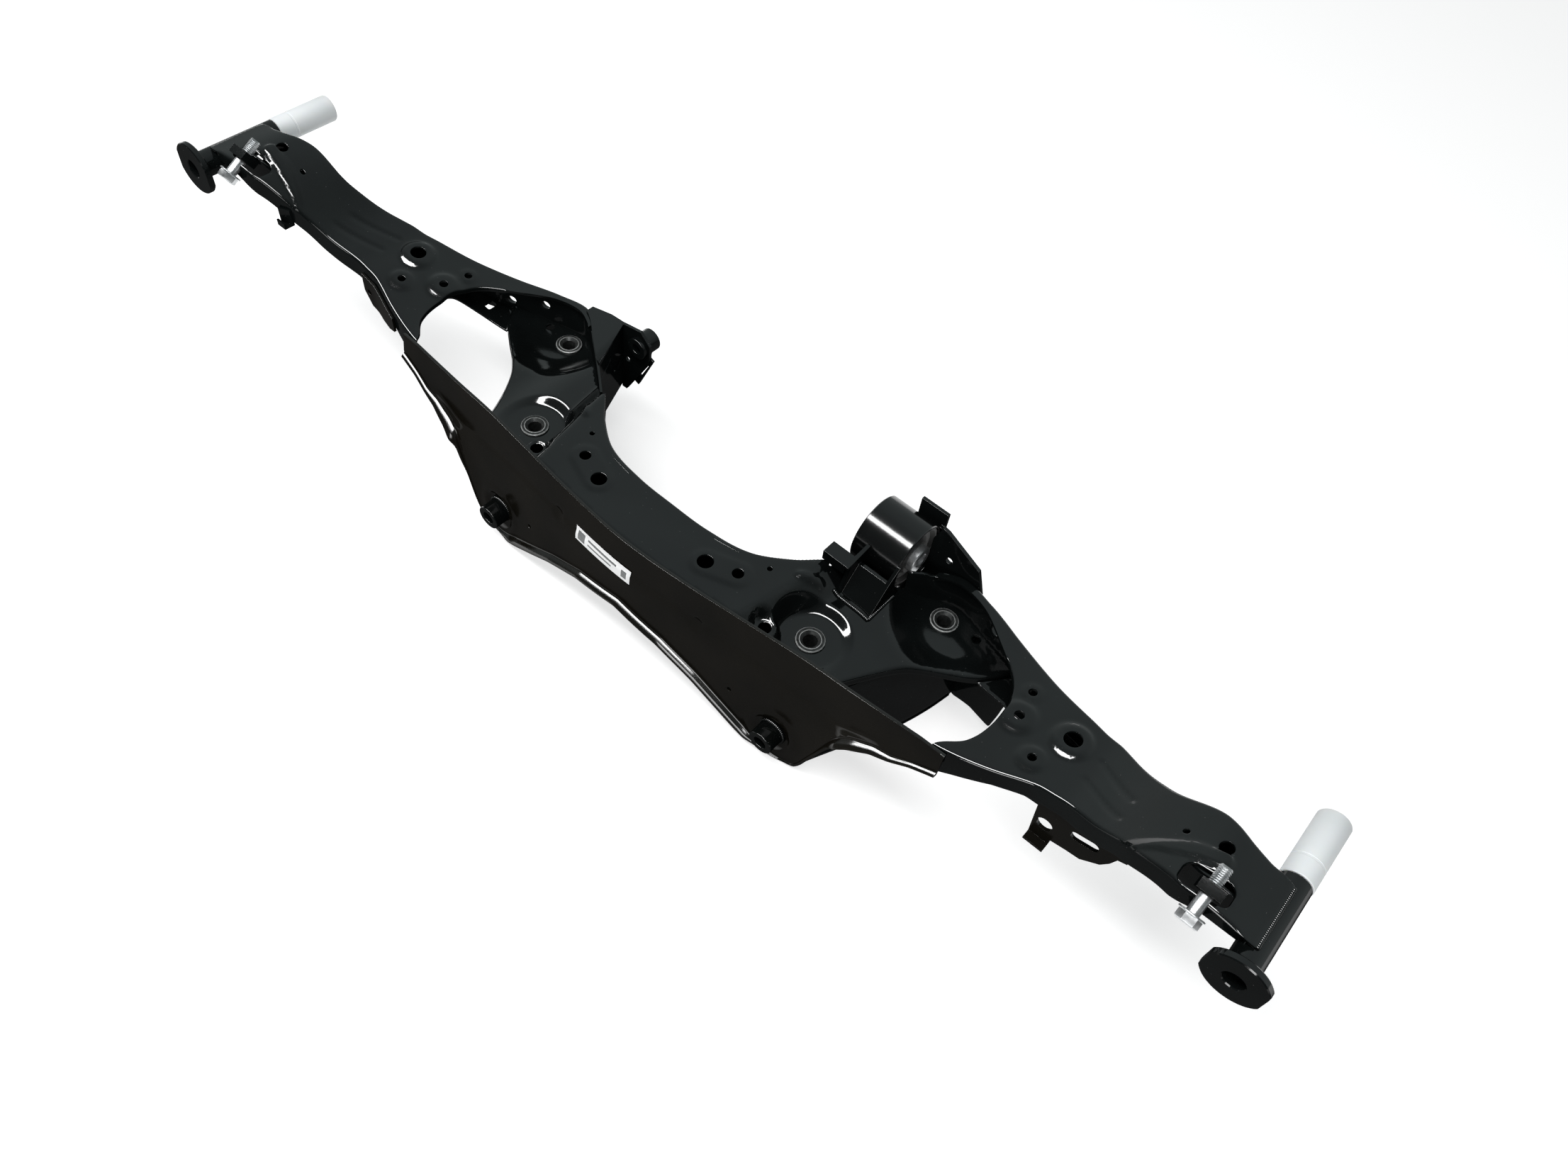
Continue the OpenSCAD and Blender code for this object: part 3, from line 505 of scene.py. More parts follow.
# A drawn skin is never quite flat.
z = z + 0.25 * np.sin(x / 23.0) * np.sin(y / 17.0 + 1.0)
fade = ease((arm_end + 2 - x) / 12)
z = z - fade * roll_off(off_line(rear_line, x, y), arm_bend)
z = z - fade * roll_off(-off_line(front_line, x, y), arm_bend)
z = z - roll_off(off_path(flat, arm_edge), edge_bend) * ease((x - 299) / 6 + (y > 100))
verts = np.stack([x, y, z], 1)
rim = chains[0]
rear_start = len(front_edge) + len(end_edge)
for start, count, depth in ((0, len(front_edge), lip_depth), (rear_start, len(rear_edge), rear_depth)):
    chain = rim[start:start + count]
    chain = chain[verts[chain, 0] <= arm_end + 0.01]
    top = verts[chain]
    foot = batten(skin_line, top[:, 0]) - straight(depth, top[:, 0])
    foot = np.minimum(foot, top[:, 2] - 1.0)
    rows = [top + np.outer(foot - top[:, 2], (0, 0, s)) for s in np.linspace(0, 1, 9)[1:]]
    verts, tris = hang_wall(verts, tris, chain, rows)
chain = rim[rear_start + len(rear_edge) + 2:]
verts, tris = hang_wall(verts, tris, chain, [verts[chain] - (0, 0, d) for d in (1.2, 2.6)])


def settle(piece):
    """Replaces a piece's mesh by what its modifiers make of it."""
    made = bpy.data.meshes.new_from_object(piece.evaluated_get(bpy.context.evaluated_depsgraph_get()))
    piece.modifiers.clear()
    piece.data = made


def drill_rear(piece, side):
    """Drills the rear wall's round holes through a piece, along Y."""
    work = bmesh.new()
    for x, z in rear_holes:
        spot = Matrix.Translation((side * x * 0.001, 0.19, z * 0.001)) @ Matrix.Rotation(math.pi / 2, 4, "X")
        r = rear_hole_r * 0.001
        bmesh.ops.create_cone(work, cap_ends=True, segments=32, radius1=r, radius2=r, depth=0.1, matrix=spot)
    bit = bpy.data.meshes.new("drill_bit")
    work.to_mesh(bit)
    work.free()
    tool = stand("drill_bit", bit)
    cut = piece.modifiers.new("rear_holes", "BOOLEAN")
    cut.operation = "DIFFERENCE"
    cut.object = tool
    settle(piece)
    bpy.data.objects.remove(tool)
    bpy.data.meshes.remove(bit)


arm_verts, arm_faces = give_gauge(verts, tris, sheet)
for s, side in hands:
    arm_top = make_piece(f"arm_top_{side}", *on_side(s, arm_verts, arm_faces), black_paint)
    drill_rear(arm_top, s)
    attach(arm_top, "root")
    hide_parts(f"upper_arm_{side}")

# Lower arms
# A shallow steel channel, pressed from the same sheet, closes each arm from below between lip and rear wall.
# Along the rear wall it runs on inwards as a strip with a square drain hole, up to the edge of the pan.
lower_front = [(318, 56), (345, 62.5), (380, 65), (458, 65), (472, 62), (487, 48), (500, 41.5), (530, 40),
               (548, 42)]
lower_depth = [(280, 39), (318, 38), (356, 39), (375, 38), (430, 42), (480, 37), (550, 30)]
channel_start = 354.0
channel_bend = 7.0


def loft(rows):
    """Skin over a stack of sections that all have the same number of points."""
    rows = np.asarray(rows, float)
    n, m = rows.shape[:2]
    at = np.arange(n * m).reshape(n, m)
    a, b, c, d = at[:-1, :-1].ravel(), at[:-1, 1:].ravel(), at[1:, 1:].ravel(), at[1:, :-1].ravel()
    return rows.reshape(-1, 3), np.concatenate([np.stack([a, b, c], 1), np.stack([a, c, d], 1)])


sections = []
corner_turns = np.radians([18, 36, 54, 72, 90])
for x in np.linspace(channel_start, arm_end, 62):
    top = float(batten(skin_line, x))
    low = top - float(straight(lower_depth, x))
    near = float(batten(lower_front, x))
    back = float(batten(rear_line, x) - lap * slant(rear_line, x))
    r = channel_bend
    section = [(near, z) for z in np.linspace(top - lap * 1.4, low + r, 5)]
    section += [(near + r * (1 - math.cos(a)), low + r * (1 - math.sin(a))) for a in corner_turns]
    section += [(y, low) for y in np.linspace(near + r, back - r, 7)[1:-1]]
    section += [(back - r * (1 - math.cos(a)), low + r * (1 - math.sin(a))) for a in corner_turns[::-1]]
    section += [(back, z) for z in np.linspace(low + r, top - lap * 5, 4)]
    sections.append([(x, y, z) for y, z in section])
channel_verts, channel_faces = give_gauge(*loft(sections), sheet)
strip_line = trail([(285.8, 132.2), (317, 127.5), (346, 122), (353.6, 114)], 10)
far_x = np.linspace(353.6, 321, 16)
near_x = np.linspace(320.5, 305, 8)
strip_rim = [strip_line, on_line(rear_line, far_x, lap), on_line(rear_line, near_x, 2 * lap)]
flat, tris, chains = cut_blank([np.concatenate(strip_rim), slot_edge(320, 142, 8, 11, 2)], 4.0)
x, y = flat.T
verts = np.stack([x, y, batten(skin_line, x) - straight(lower_depth, x) + sheet], 1)
chain = chains[0][len(strip_line):len(strip_line) + len(far_x)]
crest = batten(skin_line, verts[chain, 0]) - lap * 5
rows = [verts[chain] + np.outer(crest - verts[chain, 2], (0, 0, t)) for t in (0.25, 0.5, 0.75, 1.0)]
verts, tris = hang_wall(verts, tris, chain, rows)
strip_verts, strip_faces = give_gauge(verts, tris, sheet)
channel_faces = np.concatenate([channel_faces, strip_faces + len(channel_verts)])
channel_verts = np.concatenate([channel_verts, strip_verts])
for s, side in hands:
    channel = make_piece(f"arm_channel_{side}", *on_side(s, channel_verts, channel_faces), black_paint)
    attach(channel, "root")
    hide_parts(f"lower_arm_{side}")

# Front web
# One deep pressing, 3 mm thick, across the whole front: upright above a long crease, leaning forward below
# it, with a short forward lip along its lower edge and a round seat for each front boss. Its paint is a
# browner black.
web_gauge = 3.0
web_line = [(0, 8), (60, 11.5), (140, 20.5), (185, 25.5), (230, 28.5), (290, 33.5), (312, 35.5)]
web_low = [(0, -141), (50, -150), (90, -166), (122, -182), (145, -194), (165, -202), (185, -206),
           (197, -203), (203, -193), (209, -176), (215, -160), (224, -134), (230, -122), (242, -114),
           (260, -106), (276, -104), (292, -96), (312, -88.5)]
crease_line = [(0, -96), (120, -102), (190, -110), (230, -112), (242, -104), (260, -97), (292, -88),
               (312, -81)]
web_lean = [(0, 6), (83, 9), (124, 12), (171, 14), (200, 14), (230, 12), (276, 5.2), (292, 3.8), (312, 2.5)]
web_lip = [(0, 4.5), (150, 4.5), (190, 1.2), (224, 1.2), (231, 8.5), (260, 4.3), (276, 2.2), (292, 1.2),
           (312, 1.2)]
crease_out = 2.5
crease_bulge = 1.3
fold_r = 2.2
web_end = 312.0
boss_x, boss_z = 171.0, -176.0
dimple_x, dimple_z = 82.0, -100.0
seat_deep = 1.8
ring_high = 1.2

# Satin black paint on the web: a browner, flatter black, glossy only along its lip.
web_paint = dip_paint("satin_brown_black_paint", "#0e0d0a", "#15130f", (0.1, 0.2), (0.4, 0.85), 0.1)


def soft(points, x, reach=12.0, n=9):
    """A line of straight pieces with its corners eased over a distance, as the mean of n readings."""
    return np.mean([straight(points, np.abs(x) + s) for s in np.linspace(-reach, reach, n)], 0)


def web_foot(x):
    """Lower edge of the web with its corners eased."""
    return soft(web_low, x, 2.0, 5)


def web_top(x):
    """Upper edge of the web, which falls a little beside the arms."""
    return -62 - np.maximum(np.abs(x) - 290, 0) * 0.1


def web_face(x, z):
    """Front face of the web from its top edge over the crease to its foot."""
    top = web_top(x)
    crease = soft(crease_line, x)
    low = web_foot(x)
    upper = np.clip((top - z) / (top - crease), 0, 1)
    lower = np.clip((crease - z) / np.maximum(crease - low, 1), 0, 1.2)
    out = crease_out * upper + (soft(web_lean, x) - crease_out) * lower
    bulge = ease((crease + 4 - z) / 6) * ease((crease - low) / 40) * within(lower, 0.15, 0.5)
    return batten(web_line, x) - out - crease_bulge * bulge


web_x = np.linspace(-web_end, web_end, 313)
lip_out = soft(web_lip, web_x, 2.0)
web_fold = np.minimum(fold_r, lip_out)
bottom = np.stack([web_x, web_foot(web_x) + web_gauge + web_fold], 1)
top_edge = np.stack([web_x, web_top(web_x)], 1)[::-1]
ends = [np.linspace(a, b, 10)[1:-1] for a, b in ((bottom[-1], top_edge[0]), (top_edge[-1], bottom[0]))]
web_loops = [np.concatenate([bottom, ends[0], top_edge, ends[1]])]
web_rows = []
for s in (-1, 1):
    web_loops += [ring(s * boss_x, boss_z, 12.3, 48), ring(s * 124, -156, 2.5, 24)]
    web_rows += [ring(s * boss_x, boss_z, r, 48) for r in (13.3, 14.6, 16.4, 18.4, 20.6, 23)]
for d in (-5, -3, -1, 1, 3, 5):
    web_rows.append(np.stack([web_x, soft(crease_line, web_x) + d], 1))
flat, tris, chains = cut_blank(web_loops, 3.0, web_rows)
x, z = flat.T
y = web_face(x, z)
# Each boss has a sunk seat with a raised ring, and a small dimple lies further in.
seat = np.hypot(np.abs(x) - boss_x, z - boss_z)
y = y + seat_deep * within(seat, 15, 6) - ring_high * (ease((seat - 16) / 5) - ease((seat - 23) / 7))
y = y + seat_deep * within(np.hypot(np.abs(x) - dimple_x, z - dimple_z), 2, 7)
y = y + 0.35 * np.sin(x / 31.0 + 0.6) * np.sin(z / 19.0)
verts = np.stack([x, y, z], 1)
chain = chains[0][:len(web_x)]
rows = []
droop = math.radians(20.5)
for turn in np.linspace(0, math.pi / 2 - droop, 7)[1:]:
    rows.append(verts[chain] - np.outer(web_fold, (0, 1 - math.cos(turn), math.sin(turn))))
# The lip is wider on the arch and beside the arms than along the two feet.
spare = 3.2 * (1 - ease((np.abs(web_x) - 140) / 30) * within(np.abs(web_x), 212, 12))
flat_lip = np.maximum(lip_out + spare - web_fold * (1 - math.sin(droop)), 0.4) / math.cos(droop)
# It lies nearly level at its root and turns down towards its edge.
for share, fall in ((0.08, droop), (0.36, droop), (0.08, math.radians(34)), (0.48, math.radians(48))):
    rows.append(rows[-1] - np.outer(share * flat_lip, (0, math.cos(fall), math.sin(fall))))
verts, tris = hang_wall(verts, tris, chain, rows)
verts, tris = give_gauge(verts, tris, web_gauge)
ground = 1000 * floor_z
verts[:, 2] = np.maximum(verts[:, 2], ground)
web = make_piece("web_front", verts, tris, web_paint)
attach(web, "root")
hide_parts("front_web")

# Centre pan
# The deep-drawn steel pan that ties the box together: a level plate with swaged holes in the middle, a
# slanted step, and on each side a low field with a sunk bowl for the front collar and a wider one for the
# rear collar. It is welded to the web and the arms.
pan_line = [(0, -63), (94, -63), (128, -88.5), (164, -90), (229, -101), (310, -106)]
pan_edge = trail([(204, 31), (209, 49), (228, 84), (246, 104), (284, 132), (303, 157)], 12)
crease_in_plan = [(0, 108), (20, 111.5), (50, 118), (75, 122.5), (95, 127), (125, 131), (200, 140)]
collar_front = (164.0, 59.0)
collar_rear = (229.0, 161.0)
plate_z = -63.0
plate_end = 132.0
pan_end = 302.0
pan_bend = 4.0
hollow_bend = 2.5
step_run = 28.0
front_bowl_z = -90.0
rear_bowl_z = -101.0
plate_swage = np.array([(62.0, 41.0), (89.0, 51.0)])
swage_high = 0.9
step_rib = np.array([(125.0, 87.0), (140.0, 97.0)])
rib_high = 1.7
ledge_at = (134.0, 35.0)
ledge_z = -77.0


def flank(t):
    """Even slope from 0 to 1 with eased ends."""
    t = np.clip(t, 0, 1)
    return np.where(t < 0.25, t * t / 0.375, np.where(t > 0.75, 1 - (1 - t) ** 2 / 0.375, (t - 0.125) / 0.75))


def pan_height(x, y):
    """Height of the pan: plate, slanted step, field, the two bowls and the small pressed marks."""
    ax = np.abs(x)
    spot = np.stack([ax, y], 1)
    # The field falls outwards and sinks into the wide bowl of the rear collar.
    field = -84 - 9 * ease((ax - 172) / 50) - 3 * ease((ax - 255) / 32)
    bowl = np.hypot(ax - 240, y - 160)
    field = field + (rear_bowl_z - field) * (1 - flank((bowl - 25) / 38))
    # The step leads from the plate down to the field, with the front collar's bowl cut into it.
    z = plate_z + (field - plate_z) * flank((ax - batten(crease_in_plan, y)) / step_run)
    bowl = np.hypot(ax - collar_front[0], y - collar_front[1])
    z = z + (front_bowl_z - z) * (1 - flank((bowl - 25) / 12))
    # A swage joins the two holes of the plate, a short rib lies on the step, and one hole has a flat ledge.
    z = z + swage_high * within(off_path(spot, plate_swage), 10, 5)
    z = z + rib_high * within(off_path(spot, step_rib), 2.0, 2.6)
    by_hole = np.hypot(ax - ledge_at[0], y - ledge_at[1])
    z = z + (ledge_z - z) * within(by_hole, 8, 7)
    z = z + 1.6 * np.exp(-((by_hole - 10) / 2.4) ** 2) * ease((y - ledge_at[1]) / 7)
    return z + 0.3 * np.sin(x / 27.0) * np.sin(y / 21.0)


mid_x = np.linspace(-204, 204, 190)
pan_front = np.stack([mid_x, batten(web_line, mid_x) + web_gauge + gap], 1)
wide_rear = on_line(rear_line, np.arange(pan_end, plate_end + 2, -2.2), 2 * lap)
hollow_x = np.linspace(plate_end, -plate_end, 122)
hollow = on_line(rear_line, hollow_x)
pan_loops = [np.concatenate([pan_front, pan_edge[1:], wide_rear, hollow, wide_rear[::-1] * (-1, 1),
                             pan_edge[:0:-1] * (-1, 1)])]
pan_rows = []
plate_holes = [(*plate_swage[0], 7.5), (*plate_swage[1], 5.5), (104, 73.5, 2.75), (*ledge_at, 6),
               (260, 165.5, 4.5)]
for s in (-1, 1):
    for hx, hy, r in plate_holes:
        pan_loops.append(ring(s * hx, hy, r))
        pan_rows += [ring(s * hx, hy, r + k) for k in (0.8, 1.7, 2.8)]
    for hx, hy in (collar_front, collar_rear):
        pan_loops.append(ring(s * hx, hy, 12.8, 56))
        pan_rows += [ring(s * hx, hy, r, 56) for r in (13.6, 14.8)]
    pan_rows += [ring(s * collar_front[0], collar_front[1], r, 110) for r in np.arange(24.0, 38.6, 1.2)]
    pan_rows += [beside(pan_edge, pan_bend * (1 - math.cos(turn))) * (s, 1) for turn in bend_turns]
pan_rows += [on_line(rear_line, hollow_x, hollow_bend * (1 - math.cos(turn))) for turn in bend_turns]
flat, tris, chains = cut_blank(pan_loops, 2.7, pan_rows)
x, y = flat.T
z = pan_height(x, y)
z = z - roll_off(off_line(rear_line, x, y), hollow_bend) * ease((plate_end + 3 - np.abs(x)) / 4)
z = z - 0.9 * roll_off(off_path(np.abs(flat), pan_edge), pan_bend)
verts = np.stack([x, y, z], 1)
start = len(pan_front) + len(pan_edge) - 1 + len(wide_rear)
chain = chains[0][start:start + len(hollow)]
verts, tris = hang_wall(verts, tris, chain, [verts[chain] - (0, 0, d) for d in (2.0, 4.5, 7.5, 11.0)])
for chain in (chains[0][len(pan_front) - 1:len(pan_front) + len(pan_edge) - 1],
              np.append(chains[0][1 - len(pan_edge):], chains[0][0])):
    verts, tris = hang_wall(verts, tris, chain, [verts[chain] - (0, 0, d) for d in (2.0, 4.5)])
pan = make_piece("pan_centre", *give_gauge(verts, tris, sheet), black_paint)
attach(pan, "root")
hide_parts("centre_pan")

# Rear panel, floor and side walls
# Plain steel pressings of the same sheet, welded under the pan: they close the box behind, below and at both
# openings. The rear panel is cut out for the bush.
panel_low = [(0, -141), (60, -152), (110, -178), (150, -196), (185, -206), (258, -206), (278, -195),
             (300, -189), (304, -187), (308, -137), (318, -134)]
floor_line = web_low[:7] + [(270, -206)]
panel_x = np.linspace(-318, 318, 256)


def panel_top(x):
    """Upper edge of the rear panel, under the plate in the middle and under the arms outside."""
    ax = np.abs(x)
    middle = batten(pan_line, ax) - lap * slant(pan_line, ax)
    arms = np.where(ax < 200, plate_z - lap, batten(skin_line, ax) - lap - gap)
    return np.where(ax < plate_end + 2.5, middle, arms)


notch_in, notch_out, notch_top, notch_low = 147.5, 186.6, -67.0, -105.0
notch = np.linspace((notch_out, notch_low), (notch_in, notch_low), 16)
top_x = panel_x[::-1]
upper = np.stack([top_x, panel_top(top_x)], 1)
upper = np.concatenate([upper[top_x > notch_out], [(notch_out, notch_top)], notch, [(notch_in, notch_top)],
                        upper[top_x < notch_in]])
lower = np.stack([panel_x, soft(panel_low, panel_x, 1.0, 3)], 1)
panel_loops = [np.concatenate([lower, upper])]
for s in (-1, 1):
    panel_loops += [ring(s * hx, hz, 5, 28) for hx, hz in rear_holes]
flat, tris, chains = cut_blank(panel_loops, 5.0)
x, z = flat.T
verts = np.column_stack([on_line(rear_line, x, lap), z])
verts, tris = give_gauge(verts, tris[:, ::-1], sheet)
verts[:, 2] = np.maximum(verts[:, 2], ground)
panel = make_piece("box_rear", verts, tris, black_paint)
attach(panel, "root")
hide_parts("rear_panel")

floor_edge = trail([(199, 17.5), (213, 50), (231, 88), (242, 116), (250, 145), (255, 172)], 8)
base_x = np.linspace(-199, 199, 134)
base_y = batten(web_line, base_x) - straight(web_lean, base_x) + web_gauge + 3 * gap
base_front = np.stack([base_x, base_y], 1)
base_back = on_line(rear_line, np.linspace(253, -253, 168), 2 * lap)
base_loops = [np.concatenate([base_front, floor_edge[1:-1], base_back, floor_edge[-2:0:-1] * (-1, 1)])]
for s in (-1, 1):
    base_loops += [ring(s * c[0], c[1], 6.75, 32) for c in (collar_front, collar_rear)]
flat, tris, chains = cut_blank(base_loops, 6.0)
x, y = flat.T
verts = np.stack([x, y, straight(floor_line, x) + gap], 1)
base = make_piece("box_floor", *give_gauge(verts, tris[:, ::-1], sheet), black_paint)
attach(base, "root")
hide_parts("floor_pan")

wall_edge = trail([(204, 31), (209, 49), (223, 84), (234, 106), (249, 136), (257, 171)], 8)
sections = []
wall_low = -206 + lap + gap
for above, below in zip(wall_edge, floor_edge):
    wall_top = batten(pan_line, above[0]) - 2 * lap
    sections.append(np.linspace((*above, wall_top), (*below, wall_low), 14))
wall_verts, wall_faces = give_gauge(*loft(sections), sheet)
for s, side in hands:
    wall = make_piece(f"box_side_{side}", *on_side(s, wall_verts, wall_faces), black_paint)
    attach(wall, "root")
    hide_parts(f"side_wall_{side}")

# Body-mount tubes, flanges and sleeves
# At each end a turned steel tube with a thinner neck, a thick stamped washer flange welded on its front, and
# a white moulded sleeve pushed over the neck.
half_span = 550.0


def turn_on_lathe(profile, base, axis, n=64):
    """Turns a closed profile, given as radius and distance along the axis, about that axis."""
    axis = np.array(axis, float) / np.linalg.norm(axis)
    side = np.cross(axis, (0.0, 0.0, 1.0) if abs(axis[2]) < 0.9 else (1.0, 0.0, 0.0))
    side /= np.linalg.norm(side)
    third = np.cross(axis, side)
    a = np.arange(n) * 2 * math.pi / n
    spokes = np.cos(a)[:, None] * side + np.sin(a)[:, None] * third
    m = len(profile)
    verts = np.array([np.array(base) + axis * s + spokes[i] * r for i in range(n) for r, s in profile])
    faces = [(i * m + j, i * m + (j + 1) % m, (i + 1) % n * m + (j + 1) % m, (i + 1) % n * m + j)
             for i in range(n) for j in range(m)]
    return verts, faces


def face_out(piece):
    """Merges the doubles of a closed piece and turns all its faces outwards."""
    work = bmesh.new()
    work.from_mesh(piece.data)
    bmesh.ops.remove_doubles(work, verts=work.verts, dist=1e-6)
    bmesh.ops.recalc_face_normals(work, faces=work.faces)
    work.to_mesh(piece.data)
    work.free()
    return piece


def turned(name, profile, base, axis, finish, n=64, corner=35):
    """A lathe-turned piece."""
    return face_out(make_piece(name, *turn_on_lathe(profile, base, axis, n), finish, corner))


def clouded(name, tones, spread, patch, detail, surface, gloss=None, grain=None):
    """A finish of two tones that cloud into each other in patches of a size in mm. Gloss is a range of
    roughness that follows the patches. Grain is the size in mm, detail, strength and depth of a relief."""
    finish, tree = new_finish(name)
    place = put(tree, "ShaderNodeTexCoord")
    here = {"Vector": (place, "Object")}
    cloud = put(tree, "ShaderNodeTexNoise", {"Scale": marks(patch), "Detail": detail}, here)
    body = put(tree, "ShaderNodeValToRGB", feeds={"Fac": (cloud, "Fac")})
    stops(body.color_ramp, (spread, tones[0]), (1 - spread, tones[1]))
    feeds = {"Base Color": (body, "Color")}
    if gloss:
        shine = put(tree, "ShaderNodeMapRange", {"To Min": gloss[0], "To Max": gloss[1]},
                    {"Value": (cloud, "Fac")})
        feeds["Roughness"] = (shine, "Result")
    if grain:
        size, fine, strength, depth = grain
        bumps = put(tree, "ShaderNodeTexNoise", {"Scale": marks(size), "Detail": fine}, here)
        relief = put(tree, "ShaderNodeBump", {"Strength": strength, "Distance": depth},
                     {"Height": (bumps, "Fac")})
        feeds["Normal"] = (relief, "Normal")
    coat = put(tree, "ShaderNodeBsdfPrincipled", surface, feeds)
    put(tree, "ShaderNodeOutputMaterial", feeds={"Surface": (coat, "BSDF")})
    return finish


# Satin moulded nylon: a clean white with a soft sheen and faint flow marks.
white_nylon = clouded("white_moulded_nylon", ("#fafbfb", "#fefefe"), 0.35, 16.67, 3.0,
                      {"IOR": 1.53, "Roughness": 0.38, "Subsurface Weight": 0.08},
                      grain=(1.111, 2.0, 0.06, 0.0003))

tube_profile = [(8, 6), (11.2, 6), (12, 6.8), (12, 87.2), (11.4, 88), (10.3, 88), (10.3, 146.2), (9.7, 147),
                (8.6, 147), (8, 146.4)]
flange_profile = [(8, 0.8), (8.8, 0), (23.2, 0), (24, 0.9), (24, 5.1), (23.2, 6), (8, 6)]
flange_flat = 21.5
sleeve_profile = [(10.6, 88.3), (12.0, 88.3), (12.6, 88.9), (12.6, 104), (12.3, 104.4), (12.3, 106),
                  (12.6, 106.4), (12.6, 148.3), (12.0, 149.3), (11.1, 149.3), (10.6, 148.6)]
for s, side in hands:
    hub = (s * half_span, 0, 0)
    tube = turned(f"mount_tube_{side}", tube_profile, hub, (0, 1, 0), black_paint)
    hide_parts(f"end_tube_{side}")
    verts, faces = turn_on_lathe(flange_profile, hub, (0, 1, 0), 96)
    verts[:, 0] = hub[0] + np.clip(verts[:, 0] - hub[0], -flange_flat, flange_flat)
    flange = face_out(make_piece(f"mount_flange_{side}", verts, faces, black_paint, 35))
    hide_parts(f"end_flange_{side}")
    cover = turned(f"mount_sleeve_{side}", sleeve_profile, hub, (0, 1, 0), white_nylon)
    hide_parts(f"sleeve_{side}")
    for piece, finish in ((tube, "black_paint"), (flange, "black_paint"), (cover, "white_plastic")):
        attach(piece, "root")

# Clamp bolts and weld nuts
# M10 flanged bolts, zinc-plated steel with rolled threads, put in from below the front lip, and square nuts
# welded behind it.

# Zinc plate: a pale bright metal with a faint cloud in its gloss.
bright_zinc = clouded("bright_zinc_plate", ("#b9bcbe", "#dfe1e2"), 0.35, 5.556, 4.0, {"Metallic": 0.9},
                      gloss=(0.22, 0.42))

bolt_seat = (507.0, 14.0, 12.5)
bolt_lean = math.radians(30)
bolt_axis = (0.0, math.cos(bolt_lean), math.sin(bolt_lean))
thread_pitch = 1.5
bolt_profile = [(0.0, 37.0), (3.9, 37.0)]
for k in range(14):
    bolt_profile += [(5.0, 35.6 - thread_pitch * k), (4.35, 34.9 - thread_pitch * k)]
bolt_profile += [(4.9, 14.0), (4.9, 0.0), (9.6, 0.0), (10.0, -0.5), (10.0, -1.2), (8.6, -1.8), (0.0, -1.8)]
hex_profile = [(0.0, -8.3), (6.9, -8.3), (8.5, -7.5), (8.66, -7.2), (8.66, -1.7), (0.0, -1.7)]
for s, side in hands:
    seat = np.multiply(bolt_seat, (s, 1, 1))
    verts, faces = turn_on_lathe(bolt_profile, seat, bolt_axis, 40)
    more, more_faces = turn_on_lathe(hex_profile, seat, bolt_axis, 6)
    faces = faces + [tuple(i + len(verts) for i in f) for f in more_faces]
    bolt = face_out(make_piece(f"bolt_{side}", np.concatenate([verts, more]), faces, bright_zinc, 30))
    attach(bolt, "root")
    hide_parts(f"clamp_bolt_{side}")


def soften_solid(name, node, width, finish):
    """Copies a solid, joins its loose triangles, and rounds its edges by a width in mm."""
    mesh = bpy.data.meshes.new(name)
    work = bmesh.new()
    work.from_mesh(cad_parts[node].data)
    bmesh.ops.remove_doubles(work, verts=work.verts, dist=2e-6)
    bmesh.ops.dissolve_limit(work, angle_limit=math.radians(1.5), verts=work.verts, edges=work.edges)
    work.to_mesh(mesh)
    work.free()
    if "custom_normal" in mesh.attributes:
        mesh.attributes.remove(mesh.attributes["custom_normal"])
    mesh.materials.clear()
    mesh.materials.append(finish)
    mesh.shade_smooth()
    piece = stand(name, mesh)
    rounding = piece.modifiers.new("rounded_edges", "BEVEL")
    rounding.limit_method = "ANGLE"
    rounding.angle_limit = math.radians(32)
    rounding.width = width * 0.001
    rounding.segments = 2
    level = piece.modifiers.new("flat_shading", "WEIGHTED_NORMAL")
    level.keep_sharp = True
    settle(piece)
    bpy.data.meshes.remove(mesh)
    return piece


for side in ("right", "left"):
    nut = soften_solid(f"nut_{side}", f"weld_nut_{side}", 0.5, black_paint)
    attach(nut, "root")
    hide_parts(f"weld_nut_{side}")

# Collars and front bosses
# Thick-walled steel tubes that keep the box from being crushed by its bolts. The collars' end faces are
# skimmed, so thin paint on them shows worn grey rims. The bosses stand proud of the web.

# Worn paint over steel: a dark grey that clouds lighter where a bolt head or a washer has rubbed it.
worn_paint = clouded("worn_black_paint_on_steel", ("#2c2e2e", "#4a4c4b"), 0.3, 3.846, 5.0,
                     {"Metallic": 0.55}, gloss=(0.25, 0.5))

# Bare steel on the rims of the collars, where the paint is rubbed through: a plain mid grey.
bare_rim = clouded("bare_steel_rim", ("#7d807f", "#a6a8a7"), 0.3, 2.5, 3.0,
                   {"Metallic": 0.3, "Roughness": 0.45})

